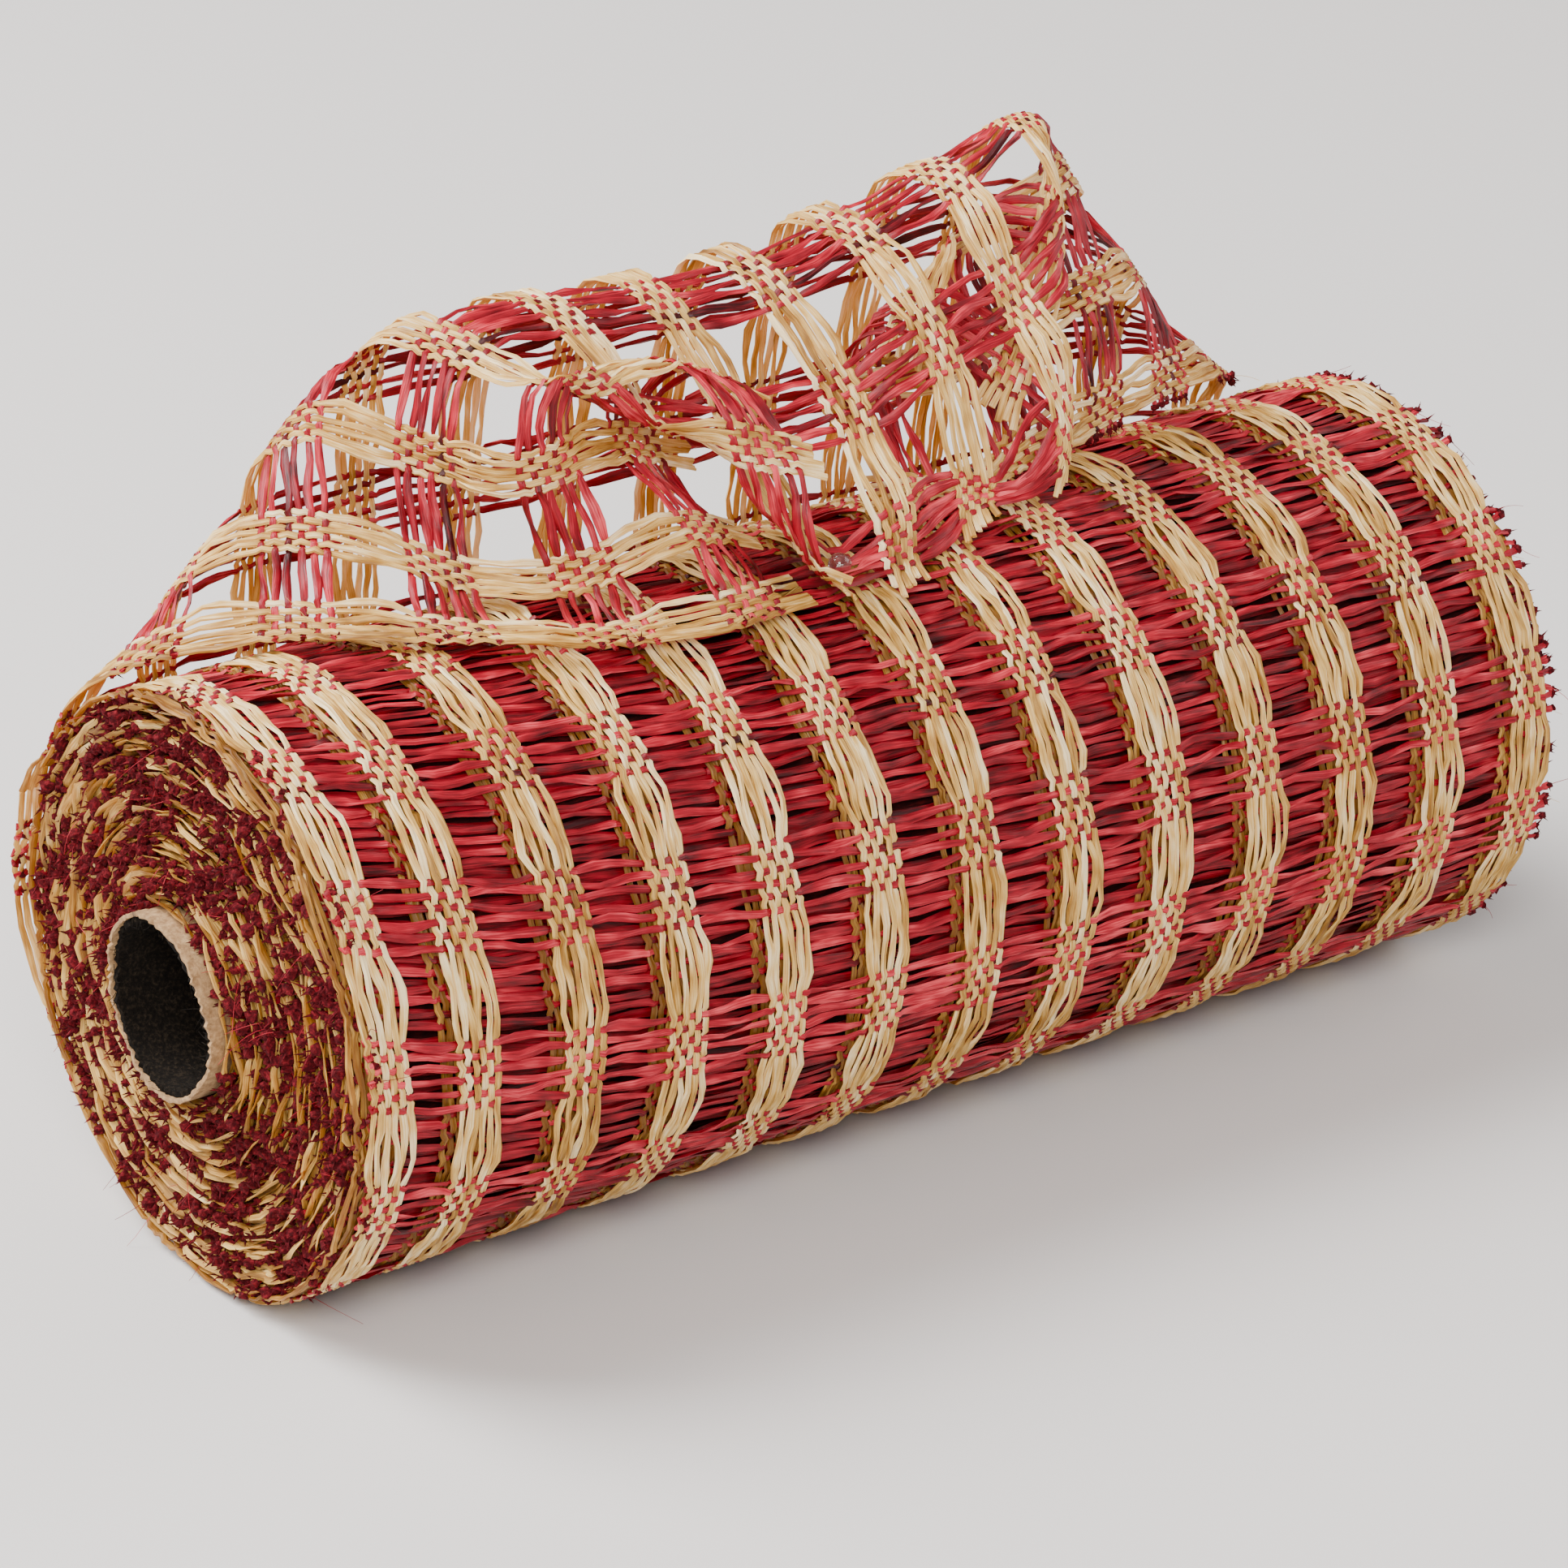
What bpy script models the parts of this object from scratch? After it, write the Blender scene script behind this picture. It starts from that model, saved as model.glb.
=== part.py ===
"""Roll of open-weave paper mesh on a cardboard core, its free end looped over and pinned.

Frame: metres, +X along the roll towards the end whose core is sunk in, +Z up, origin in the
middle of the flat that the roll rests on.  The web leaves the roll at the back and is
numbered across in millimetres from the middle, and along in millimetres from the hinge line.
"""
import math

import bmesh
import bpy
import numpy as np

MM = 0.001

# Driving dimensions, in millimetres and degrees.
WEB_WIDTH = 254.0
ROLL_RADIUS = 54.2
REST_WIDTH = 16.0
CORE_RADIUS = 16.5
CORE_LENGTH = 258.0
CORE_SHIFT = -6.0
LINER_THICKNESS = 0.5
PLY_THICKNESS = 1.0
END_CONE = 4.5
CONE_SHARE = 0.45
BAND_COUNT = 13
BAND_WIDTH = 8.5
SELVAGE_STEP = 17.25
GROUP_COUNT = 11
GROUP_WIDTH = 13.5
FRONT_GROUP = 5
FRONT_TURN = 187.2
FRONT_STEP = 29.28
BACK_STEP = 31.7
GROUP_DRIFT = 23.0
DRIFT_BUILDS = 120.0
DRIFT_REACH = 75.0
FREE_LENGTH = 147.0
FREE_ROW_FIRST = 3.0
FREE_ROW_STEP = 26.0
FREE_ROW_COUNT = 6
HINGE_ANGLE = 30.0
HINGE_RISE = 1.8
PIN_SHANK_RADIUS = 0.35
PIN_LENGTH = 28.0
PIN_HEADS = {"near": 2.05, "far": 2.4}
PIN_SLOT = (2.4, 9.0)

# Clearances and thicknesses.
GAP = 0.4
HEAD_GAP = 0.1
SLOT_FORWARD = 3.0
SLOT_PAST = 12.0
SLOT_REACH = 14.0
HOLE_PAST = 8.0
STRIP_LAYER = 0.6
PIN_GAP = 0.5
WEB_GAP = 0.8
HINGE_GAP = 1.6
TURN_END = 350.0

AXIS_Z = math.sqrt(ROLL_RADIUS ** 2 - (REST_WIDTH / 2) ** 2)
WEFT_DEPTH = STRIP_LAYER + GAP
MASS_DEPTH = WEFT_DEPTH + STRIP_LAYER + GAP
HINGE_RADIUS = ROLL_RADIUS + HINGE_RISE
BAND_STEP = (WEB_WIDTH - BAND_WIDTH - SELVAGE_STEP) / (BAND_COUNT - 2)
WIDTH_SCALE = WEB_WIDTH / 254.0
RADIUS_SCALE = ROLL_RADIUS / 54.2

# How far the last turn stands off the roll at its near selvage: (degrees, millimetres).
LOOSE_WRAP = [
    (-95, 0.0), (-60, 3.3), (-42, 5.2), (-28, 5.0), (-19, 7.0), (-9, 9.6), (0, 10.4), (15, 7.4), (30, 4.3),
]
LOOSE_REACH = 150.0
FOOT_TURN = HINGE_ANGLE + 90.0

# How far one layer of the free end keeps from the next where it folds back over itself,
# and from the roll.
LAYER_SPACE = 9.0
ROLL_SPACE = 1.6

# How the free end settles: stiffness in shear, in bending, at a held point and between
# layers, then the pace and drag of each step.
NET_SIZE = (27, 16)
SETTLE_STEPS = 2000
SHEAR = 0.06
BEND = 0.04
HOLD = 0.6
APART = 0.35
APART_EVERY = 4
PACE = 0.25
DRAG = 0.9

# Weft groups of the free end that are two pieces, open where this warp band folds sharply.
TIGHT_FOLDS = {5: 4, 6: 4}

# Where the free end is held: (across, along, (x, y, height over the roll's axis)).
HELD_POINTS = [
    (-127, 17, (-126, 39, 41)), (-127, 40, (-111, 22, 51)), (-127, 60, (-96, 5, 55)),
    (-127, 90, (-69, -14, 55)), (-127, 120, (-39, -22, 53)), (-127, 147, (-15, -21, 52)),
    (-102, 55, (-88, 27, 69)), (-102, 81, (-69, 12, 63)), (-102, 107, (-49, -1, 62)),
    (-102, 133, (-28, -3, 65)), (-81, 55, (-79, 40, 83)), (-81, 81, (-65, 21, 80)),
    (-81, 107, (-54, 3, 80)), (-81, 133, (-29, 14, 78)), (-61, 66, (-61, 39, 95)),
    (-61, 81, (-55, 26, 94)), (-61, 107, (-45, 3, 88)), (-61, 133, (-22, 8, 88)),
    (-41, 68, (-39, 34, 97)), (-41, 81, (-34, 23, 94)), (-41, 107, (-29, 4, 79)),
    (-41, 120, (-24, -4, 80)), (-41, 133, (-19, -11, 74)),
    (-20, 68, (-19, 33, 97)), (-20, 107, (-9, 2, 74)), (-20, 133, (-11, -17, 56)),
    (-20, 147, (-13, -27, 53)), (0, 68, (2, 33, 98)), (0, 107, (11, 1, 74)),
    (0, 133, (9, -16, 54)), (0, 147, (4, -26, 51)), (20, 68, (23, 35, 101)),
    (20, 107, (29, 0, 83)), (20, 133, (28, -9, 60)), (20, 147, (24, -17, 55)),
    (41, 68, (46, 35, 105)), (41, 81, (47, 22, 105)), (41, 107, (47, 5, 85)),
    (41, 147, (42, -14, 57)), (61, 70, (68, 35, 108)), (82, 81, (73, 28, 96)),
    (82, 133, (31, 13, 85)), (102, 81, (74, 17, 79)), (102, 107, (49, 16, 75)), (102, 133, (27, 17, 72)),
    (127, 40, (109, 25, 52)), (127, 60, (90, 17, 54)), (127, 90, (62, 4, 56)),
    (127, 120, (33, -6, 56)), (127, 147, (8, -8, 57)),
]
PIN_PLACES = {"near": (-5.3, -15.5, 54.4), "far": (34.0, 0.4, 56.0)}

COLOURS = {
    "natural_paper": ((0.60, 0.44, 0.18), 0.62, 0.0),
    "red_paper": ((0.42, 0.02, 0.04), 0.45, 0.0),
    "kraft_board": ((0.37, 0.24, 0.14), 0.8, 0.0),
    "grey_board": ((0.16, 0.15, 0.12), 0.9, 0.0),
    "clear_glass": ((0.80, 0.88, 0.82), 0.05, 0.0),
    "plated_steel": ((0.62, 0.62, 0.60), 0.25, 1.0),
}


def collection(name):
    made = bpy.data.collections.new(name)
    bpy.context.scene.collection.children.link(made)
    return made


def material(name):
    colour, roughness, metallic = COLOURS[name]
    made = bpy.data.materials.new(name)
    made.use_nodes = True
    shader = made.node_tree.nodes["Principled BSDF"]
    shader.inputs["Base Color"].default_value = (*colour, 1.0)
    shader.inputs["Roughness"].default_value = roughness
    shader.inputs["Metallic"].default_value = metallic
    return made


def finish(obj, group, made_of=None):
    """Put an object in its collection, with its material."""
    for other in list(obj.users_collection):
        other.objects.unlink(obj)
    group.objects.link(obj)
    if made_of:
        obj.data.materials.append(made_of)
    return obj


def band_middles():
    inner = [WEB_WIDTH / 2 - BAND_WIDTH / 2 - BAND_STEP * i for i in range(BAND_COUNT - 1)]
    return [-(WEB_WIDTH - BAND_WIDTH) / 2] + inner[::-1]


def smooth_step(t):
    t = np.clip(t, 0.0, 1.0)
    return t * t * (3 - 2 * t)


def roll_points(x, turn, depth):
    """Points on the last turn, where turn is degrees on from the hinge line, down the back."""
    angle = HINGE_ANGLE - turn
    degrees, lifts = zip(*LOOSE_WRAP)
    lift = np.interp(angle, degrees, lifts)
    fade = 1 - smooth_step((x + WEB_WIDTH / 2) / LOOSE_REACH)
    radius = ROLL_RADIUS + lift * fade - depth
    y = radius * np.cos(np.radians(angle))
    z = np.maximum(AXIS_Z + radius * np.sin(np.radians(angle)), depth)
    return np.stack([x, y, z], -1)


def group_turns(number, x):
    """The turn of a weft group's middle at each x: the groups lag towards the far end."""
    step = FRONT_STEP if number >= FRONT_GROUP else BACK_STEP
    near = FRONT_TURN + step * (number - FRONT_GROUP)
    drift = GROUP_DRIFT * min(1.0, near / DRIFT_BUILDS)
    return near - drift * (1 - np.exp(-(x + WEB_WIDTH / 2) / DRIFT_REACH))


class FreeWeb:
    """The free end as a net that keeps its lengths between the places that hold it."""

    def __init__(self):
        self.size = columns, rows = NET_SIZE
        across = np.linspace(-WEB_WIDTH / 2, WEB_WIDTH / 2, columns)
        along = np.linspace(0, FREE_LENGTH, rows)
        self.step = (across[1] - across[0], along[1] - along[0])
        line = np.radians(HINGE_ANGLE)
        hinge = (HINGE_RADIUS * math.cos(line), HINGE_RADIUS * math.sin(line))
        scale = np.array((WIDTH_SCALE, RADIUS_SCALE, RADIUS_SCALE))
        self.held = [(u * WIDTH_SCALE, s, np.array(p) * scale) for u, s, p in HELD_POINTS]
        root = [(u, 0.0, np.array((u, *hinge))) for u in across]
        grid_u, grid_s = np.meshgrid(across, along, indexing="ij")
        weight = np.zeros(self.size)
        self.net = np.zeros((*self.size, 3))
        for u, s, place in self.held + root[::2]:
            pull = 1 / ((grid_u - u) ** 2 + (grid_s - s) ** 2 + 4) ** 2
            weight += pull
            self.net += pull[..., None] * place
        self.net /= weight[..., None]
        self.net[:, 0] = [place for _, _, place in root]
        index = np.argwhere(np.ones(self.size))
        near = np.abs(index[:, None] - index[None]).max(-1) < 3
        self.together = np.where(near, LAYER_SPACE, 0.0)
        self.settle()

    def settle(self):
        """Let the net come to rest: threads keep their length, folds stay round."""
        du, ds = self.step
        every = slice(None)
        head, tail, mid = slice(None, -1), slice(1, None), slice(1, -1)
        low, high = slice(None, -2), slice(2, None)
        threads = [((head, every), (tail, every), du, 1.0), ((every, head), (every, tail), ds, 1.0),
                   ((head, head), (tail, tail), math.hypot(du, ds), SHEAR),
                   ((tail, head), (head, tail), math.hypot(du, ds), SHEAR)]
        folds = [((low, every), (mid, every), (high, every)), ((every, low), (every, mid), (every, high))]
        cells = [self.cell(u, s) for u, s, _ in self.held]
        targets = np.array([place for _, _, place in self.held])
        corners = []
        for di in (0, 1):
            for dj in (0, 1):
                i = np.array([c[0] + di for c in cells])
                j = np.array([c[1] + dj for c in cells])
                share = np.array([(c[2] if di else 1 - c[2]) * (c[3] if dj else 1 - c[3]) for c in cells])
                corners.append((i, j, share[:, None]))
        net = self.net
        speed = np.zeros_like(net)
        for step in range(SETTLE_STEPS):
            force = np.zeros_like(net)
            for a, b, rest, stiffness in threads:
                line = net[b] - net[a]
                length = np.maximum(np.linalg.norm(line, axis=-1, keepdims=True), 1e-6)
                pull = stiffness * (1 - rest / length) * line
                force[a] += pull
                force[b] -= pull
            for a, b, c in folds:
                bend = BEND * (net[a] - 2 * net[b] + net[c])
                force[a] -= bend
                force[b] += 2 * bend
                force[c] -= bend
            off = targets - sum(net[i, j] * share for i, j, share in corners)
            for i, j, share in corners:
                np.add.at(force, (i, j), HOLD * off * share)
            if step % APART_EVERY == 0:
                push = self.keep_apart(net)
            force += push
            radial = net[..., 1:]
            radius = np.linalg.norm(radial, axis=-1, keepdims=True)
            force[..., 1:] += np.maximum(ROLL_RADIUS + ROLL_SPACE - radius, 0) * radial / radius
            force[:, 0] = 0
            speed = (speed + PACE * force) * DRAG
            net = net + speed
        self.net = net

    def keep_apart(self, net):
        """Push apart the places where one layer of the web comes too near another."""
        flat = net.reshape(-1, 3)
        line = flat[:, None] - flat[None]
        far = np.sqrt((line ** 2).sum(-1)) + self.together
        close = np.maximum(LAYER_SPACE - far, 0)
        return (APART * (close / far)[..., None] * line).sum(1).reshape(net.shape)

    def cell(self, u, s):
        a = (u + WEB_WIDTH / 2) / self.step[0]
        b = s / self.step[1]
        i = min(max(int(a), 0), self.size[0] - 2)
        j = min(max(int(b), 0), self.size[1] - 2)
        return i, j, a - i, b - j

    @staticmethod
    def blend(samples, at):
        """Smooth curve through samples on the first axis, read at each place."""
        last = len(samples) - 1
        i = np.clip(np.floor(at).astype(int), 0, last - 1)
        t = (at - i).reshape(-1, *([1] * (samples.ndim - 1)))
        p0, p1, p2, p3 = (samples[np.clip(i + k, 0, last)] for k in (-1, 0, 1, 2))
        return 0.5 * (2 * p1 + (p2 - p0) * t + (2 * p0 - 5 * p1 + 4 * p2 - p3) * t ** 2
                      + (3 * p1 - p0 - 3 * p2 + p3) * t ** 3)

    def surface(self, u, s):
        """Points at every pairing of the places u across and s along."""
        columns = self.blend(self.net, (u + WEB_WIDTH / 2) / self.step[0])
        points = self.blend(columns.swapaxes(0, 1), s / self.step[1]).swapaxes(0, 1)
        points[..., 2] += AXIS_Z
        return points

    def points(self, u, s, lift):
        """Points lifted off the net's surface, on its outer side where lift is positive."""
        out = []
        for one_u, one_s in zip(u, s):
            patch = self.surface(one_u + np.array((-1.0, 0.0, 1.0)), one_s + np.array((-1.0, 0.0, 1.0)))
            normal = np.cross(patch[1, 2] - patch[1, 0], patch[2, 1] - patch[0, 1])
            out.append(patch[1, 1] + lift * normal / np.linalg.norm(normal))
        return np.array(out)


def ribbon(name, group, made_of, segments, place, thickness, side, split="FIXED"):
    """A flat grid laid on a surface by place(along, across), both 0 to 1, made solid."""
    grid = bmesh.new()
    bmesh.ops.create_grid(grid, x_segments=segments[0], y_segments=segments[1], size=0.5)
    flat = np.array([v.co[:2] for v in grid.verts]) + 0.5
    for vertex, point in zip(grid.verts, place(flat[:, 0], flat[:, 1])):
        vertex.co = point * MM
    bmesh.ops.triangulate(grid, faces=grid.faces[:], quad_method=split)
    mesh = bpy.data.meshes.new(name)
    grid.to_mesh(mesh)
    grid.free()
    mesh.shade_smooth()
    obj = finish(bpy.data.objects.new(name, mesh), group, made_of)
    solid = obj.modifiers.new("thickness", "SOLIDIFY")
    solid.thickness = thickness * MM
    solid.offset = side
    return obj


def turned(name, group, made_of, profile, segments=48):
    """A solid turned about the roll's axis from (x, radius) corners, outer side first."""
    mesh = bpy.data.meshes.new(name)
    corners = [(radius * MM, 0.0, -x * MM) for x, radius in profile]
    edges = [(i, (i + 1) % len(corners)) for i in range(len(corners))]
    mesh.from_pydata(corners, edges, [])
    obj = finish(bpy.data.objects.new(name, mesh), group, made_of)
    obj.location = (0, 0, AXIS_Z * MM)
    obj.rotation_euler = (0, math.radians(-90), 0)
    screw = obj.modifiers.new("turn", "SCREW")
    screw.steps = segments
    screw.render_steps = segments
    screw.merge_threshold = 0.0001
    screw.use_merge_vertices = True
    return obj


def cut(obj, cutter):
    hole = obj.modifiers.new("cut_" + cutter.name, "BOOLEAN")
    hole.operation = "DIFFERENCE"
    hole.object = cutter


def box_cutter(name, group, size, centre, tilt=0.0):
    bpy.ops.mesh.primitive_cube_add(size=1.0, location=[c * MM for c in centre])
    obj = bpy.context.object
    obj.name = name
    obj.scale = [s * MM for s in size]
    bpy.ops.object.transform_apply(location=False, rotation=False, scale=True)
    obj.rotation_euler = (tilt, 0, 0)
    obj.hide_render = True
    obj.display_type = "WIRE"
    return finish(obj, group)


def pin_frame(side):
    """A pin's head middle and the way it is drawn out: square to its arm from the hinge."""
    x, y, height = PIN_PLACES[side]
    head = np.array((x * WIDTH_SCALE, y * RADIUS_SCALE, height * RADIUS_SCALE + AXIS_Z))
    line = math.radians(HINGE_ANGLE)
    arm = head[1:] - (HINGE_RADIUS * math.cos(line), HINGE_RADIUS * math.sin(line) + AXIS_Z)
    out = np.array((0.0, arm[1], -arm[0])) / np.linalg.norm(arm)
    return head, out


def cylinder_along(name, group, made_of, radius, start, end, sides=12):
    line = end - start
    length = np.linalg.norm(line)
    middle = (start + end) / 2
    bpy.ops.mesh.primitive_cylinder_add(vertices=sides, radius=radius * MM, depth=length * MM,
                                        location=middle * MM)
    obj = bpy.context.object
    obj.name = name
    obj.rotation_euler = (math.atan2(-line[1], line[2]), 0, 0)
    obj.data.shade_smooth()
    obj.data.set_sharp_from_angle(angle=math.radians(40))
    return finish(obj, group, made_of)


def build_core(group, materials):
    start = CORE_SHIFT - CORE_LENGTH / 2
    end = CORE_SHIFT + CORE_LENGTH / 2
    liner_inner = CORE_RADIUS - LINER_THICKNESS
    ply_outer = liner_inner - GAP
    ply_inner = ply_outer - PLY_THICKNESS
    turned("core_outer_liner", group, materials["kraft_board"],
           [(start, CORE_RADIUS), (end, CORE_RADIUS), (end, liner_inner), (start, liner_inner)])
    turned("core_inner_ply", group, materials["grey_board"],
           [(start, ply_outer), (end, ply_outer), (end, ply_inner), (start, ply_inner)])


def build_wound_mesh(group, cutters, materials):
    half = WEB_WIDTH / 2
    bore = CORE_RADIUS + GAP
    outer = ROLL_RADIUS - MASS_DEPTH
    cone = bore + CONE_SHARE * (outer - bore)
    profile = [(-half, outer), (half, outer), (half, cone), (half - END_CONE, bore),
               (-half - END_CONE, bore), (-half, cone)]
    mass = turned("wound_mesh", group, materials["natural_paper"], profile)
    floor = box_cutter("rest_flat", cutters, (WEB_WIDTH * 1.2, ROLL_RADIUS * 2, 10.0),
                       (0, 0, MASS_DEPTH - 5.0))
    cut(mass, floor)
    return mass


def with_middles(edges):
    """Edges of pieces in order, with the middle of every stretch between them."""
    middles = [(a + b) / 2 for a, b in zip(edges, edges[1:])]
    return np.array(sorted(edges + middles))


def read(stations, share):
    """The station at a share of the way through the list."""
    return np.interp(share * (len(stations) - 1), np.arange(len(stations)), stations)


def build_last_turn(group, materials):
    pieces = []
    first_turn = math.degrees(HINGE_GAP / HINGE_RADIUS)
    foot = math.degrees(math.asin(REST_WIDTH / 2 / ROLL_RADIUS))
    turns = np.concatenate([np.linspace(first_turn, FOOT_TURN - foot, 18), [FOOT_TURN],
                            np.linspace(FOOT_TURN + foot, TURN_END, 24)])
    for number, middle in enumerate(band_middles(), 1):
        def band_place(along, across, middle=middle):
            x = middle + (0.5 - across) * BAND_WIDTH
            return roll_points(x, read(turns, along), 0.0)
        name = f"warp_band_{number:02d}"
        pieces.append(ribbon(name, group, materials["natural_paper"], (len(turns) - 1, 1), band_place,
                             STRIP_LAYER, -1))
    half_angle = math.degrees(GROUP_WIDTH / 2 / ROLL_RADIUS)
    for number in range(GROUP_COUNT):
        def group_place(along, across, number=number):
            x = (along - 0.5) * WEB_WIDTH
            turn = group_turns(number, x) + (across - 0.5) * 2 * half_angle
            return roll_points(x, np.maximum(turn, first_turn), WEFT_DEPTH)
        name = f"weft_group_{number + 1:02d}"
        pieces.append(ribbon(name, group, materials["red_paper"], (10, 3), group_place, STRIP_LAYER, -1))
    return pieces


def free_rows():
    rows = []
    for number in range(FREE_ROW_COUNT):
        middle = FREE_ROW_FIRST + FREE_ROW_STEP * number
        rows.append((max(middle - GROUP_WIDTH / 2, HINGE_GAP), min(middle + GROUP_WIDTH / 2, FREE_LENGTH)))
    return rows


def build_free_end(group, materials):
    """Bands on one face of the web and weft groups on the other, on shared stations."""
    web = FreeWeb()
    lift = (STRIP_LAYER + WEB_GAP) / 2
    bands = [(middle - BAND_WIDTH / 2, middle + BAND_WIDTH / 2) for middle in band_middles()]
    rows = free_rows()
    across_all = with_middles([edge for band in bands for edge in band])
    along_all = with_middles(sorted({edge for row in rows for edge in row} | {FREE_LENGTH}))
    pieces = []
    for number, band in enumerate(bands, 1):
        def band_place(along, across, band=band):
            return web.points(read(band, 1 - across), read(along_all, along), lift)
        name = f"free_warp_band_{number:02d}"
        size = (len(along_all) - 1, 2)
        pieces.append(ribbon(name, group, materials["natural_paper"], size, band_place, STRIP_LAYER, 0))
    for number, row in enumerate(rows, 1):
        stretches = {"": across_all}
        if number in TIGHT_FOLDS:
            low, high = bands[TIGHT_FOLDS[number] - 1]
            stretches = {"_near": across_all[across_all < low], "_far": across_all[across_all > high]}
        for suffix, stations in stretches.items():
            def row_place(along, across, row=row, stations=stations):
                return web.points(read(stations, 1 - along), read(row, 1 - across), -lift)
            name = f"free_weft_group_{number:02d}{suffix}"
            size = (len(stations) - 1, 2)
            pieces.append(ribbon(name, group, materials["red_paper"], size, row_place, STRIP_LAYER, 0,
                                 split="ALTERNATE"))
    return pieces


def build_pins(group, cutters, materials, mass, pieces):
    for side, head_radius in PIN_HEADS.items():
        head, out = pin_frame(side)
        bpy.ops.mesh.primitive_uv_sphere_add(segments=16, ring_count=8, radius=head_radius * MM,
                                             location=head * MM)
        ball = bpy.context.object
        ball.name = f"pin_head_{side}"
        ball.data.shade_smooth()
        finish(ball, group, materials["clear_glass"])
        neck = head - out * (head_radius + HEAD_GAP)
        point = neck - out * PIN_LENGTH
        cylinder_along(f"pin_shank_{side}", group, materials["plated_steel"], PIN_SHANK_RADIUS, neck, point)
        hole = cylinder_along(f"pin_hole_{side}", cutters, None, head_radius + PIN_GAP,
                              head + out * (PIN_LENGTH + HOLE_PAST), head - out * HOLE_PAST)
        hole.hide_render = True
        hole.display_type = "WIRE"
        tilt = math.atan2(-out[1], out[2])
        front = np.array((0.0, -out[2], out[1]))
        middle = head - out * (PIN_LENGTH / 2) + front * SLOT_FORWARD
        slot = box_cutter(f"pin_slot_{side}", cutters, (*PIN_SLOT, PIN_LENGTH + SLOT_PAST), middle, tilt)
        cut(mass, slot)
        for piece in pieces:
            path = piece_distance(piece, head, out)
            if piece.name.startswith("free_") and path < head_radius + PIN_GAP + HOLE_PAST:
                cut(piece, hole)
            elif path < SLOT_REACH:
                cut(piece, slot)


def piece_distance(piece, head, out):
    """How near a ribbon's own vertices come to the line that a pin lies on."""
    points = np.array([v.co for v in piece.data.vertices]) / MM - head
    along = points @ out
    near = np.abs(along) < PIN_LENGTH + SLOT_PAST
    return np.linalg.norm(points - along[:, None] * out, axis=1)[near].min(initial=1e3)


def main():
    for obj in list(bpy.data.objects):
        bpy.data.objects.remove(obj, do_unlink=True)
    roll = collection("paper_mesh_roll")
    cutters = collection("cutters")
    materials = {name: material(name) for name in COLOURS}
    build_core(roll, materials)
    mass = build_wound_mesh(roll, cutters, materials)
    pieces = build_last_turn(roll, materials)
    pieces += build_free_end(roll, materials)
    build_pins(roll, cutters, materials, mass, pieces)


main()
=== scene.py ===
"""Roll of open-weave paper mesh on a cardboard core, made strip by strip.

Places are in millimetres until a mesh is made.  The web is numbered across from its middle
(u, along +X) and along from the hinge line (s, up to the cut edge and, below zero, back round
the roll).
"""
import math

import bmesh
import bpy
import numpy as np
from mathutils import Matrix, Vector


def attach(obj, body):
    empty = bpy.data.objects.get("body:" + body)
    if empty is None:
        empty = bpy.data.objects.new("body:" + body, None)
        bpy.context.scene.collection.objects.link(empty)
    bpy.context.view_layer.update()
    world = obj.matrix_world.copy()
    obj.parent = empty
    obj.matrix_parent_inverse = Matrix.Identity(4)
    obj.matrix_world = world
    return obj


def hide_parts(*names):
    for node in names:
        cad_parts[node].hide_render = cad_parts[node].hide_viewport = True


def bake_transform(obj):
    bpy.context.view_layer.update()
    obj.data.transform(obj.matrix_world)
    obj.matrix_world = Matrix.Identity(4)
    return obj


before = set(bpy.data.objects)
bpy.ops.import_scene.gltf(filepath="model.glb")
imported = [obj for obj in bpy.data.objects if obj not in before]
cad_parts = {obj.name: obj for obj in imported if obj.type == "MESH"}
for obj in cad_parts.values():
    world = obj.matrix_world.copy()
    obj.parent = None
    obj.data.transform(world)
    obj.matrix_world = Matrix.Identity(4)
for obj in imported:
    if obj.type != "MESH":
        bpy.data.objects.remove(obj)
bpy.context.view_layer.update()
bpy.ops.object.select_all(action="DESELECT")

MM = 0.001
SHARP_ANGLE = math.radians(48)

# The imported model's own sizes, in millimetres and degrees.
WEB_WIDTH = 254.0
ROLL_RADIUS = 54.2
REST_WIDTH = 16.0
AXIS_Z = math.sqrt(ROLL_RADIUS ** 2 - (REST_WIDTH / 2) ** 2)
CORE_RADIUS = 16.5
CORE_LENGTH = 258.0
CORE_SHIFT = -6.0
LINER_WALL = 0.75
BOARD_RADIUS = CORE_RADIUS - 0.8
BOARD_WALL = 1.1
END_CONE = 4.5
CONE_SHARE = 0.45
BAND_COUNT = 13
BAND_WIDTH = 8.5
SELVAGE_STEP = 17.25
BAND_STEP = (WEB_WIDTH - BAND_WIDTH - SELVAGE_STEP) / (BAND_COUNT - 2)
GROUP_COUNT = 11
FRONT_GROUP = 5
FRONT_TURN = 187.2
GROUP_STEP = 29.28
BACK_STEP = 31.7
GROUP_DRIFT = 23.0
DRIFT_BUILDS = 120.0
DRIFT_REACH = 75.0
FREE_LENGTH = 147.0
FREE_ROW_FIRST = 3.0
FREE_ROW_STEP = 26.0
FREE_ROW_COUNT = 6
HINGE_ANGLE = 30.0
HINGE_RADIUS = 56.0
PIN_LENGTH = 28.0
PIN_HEADS = {"near": 2.05, "far": 2.4}
PIN_SHANK_RADIUS = 0.35
# How wide the web dips round a pin, how much further in front of it, how fast it goes on
# down there, and how high over a head it is still caught.
PIN_DIP = 9.0
DIP_STRETCH = 2.5
DIP_SLOPE = 0.45
PIN_CATCH = 4.5
# Room for half a strip beside a head.
STRIP_ROOM = 0.7
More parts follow.
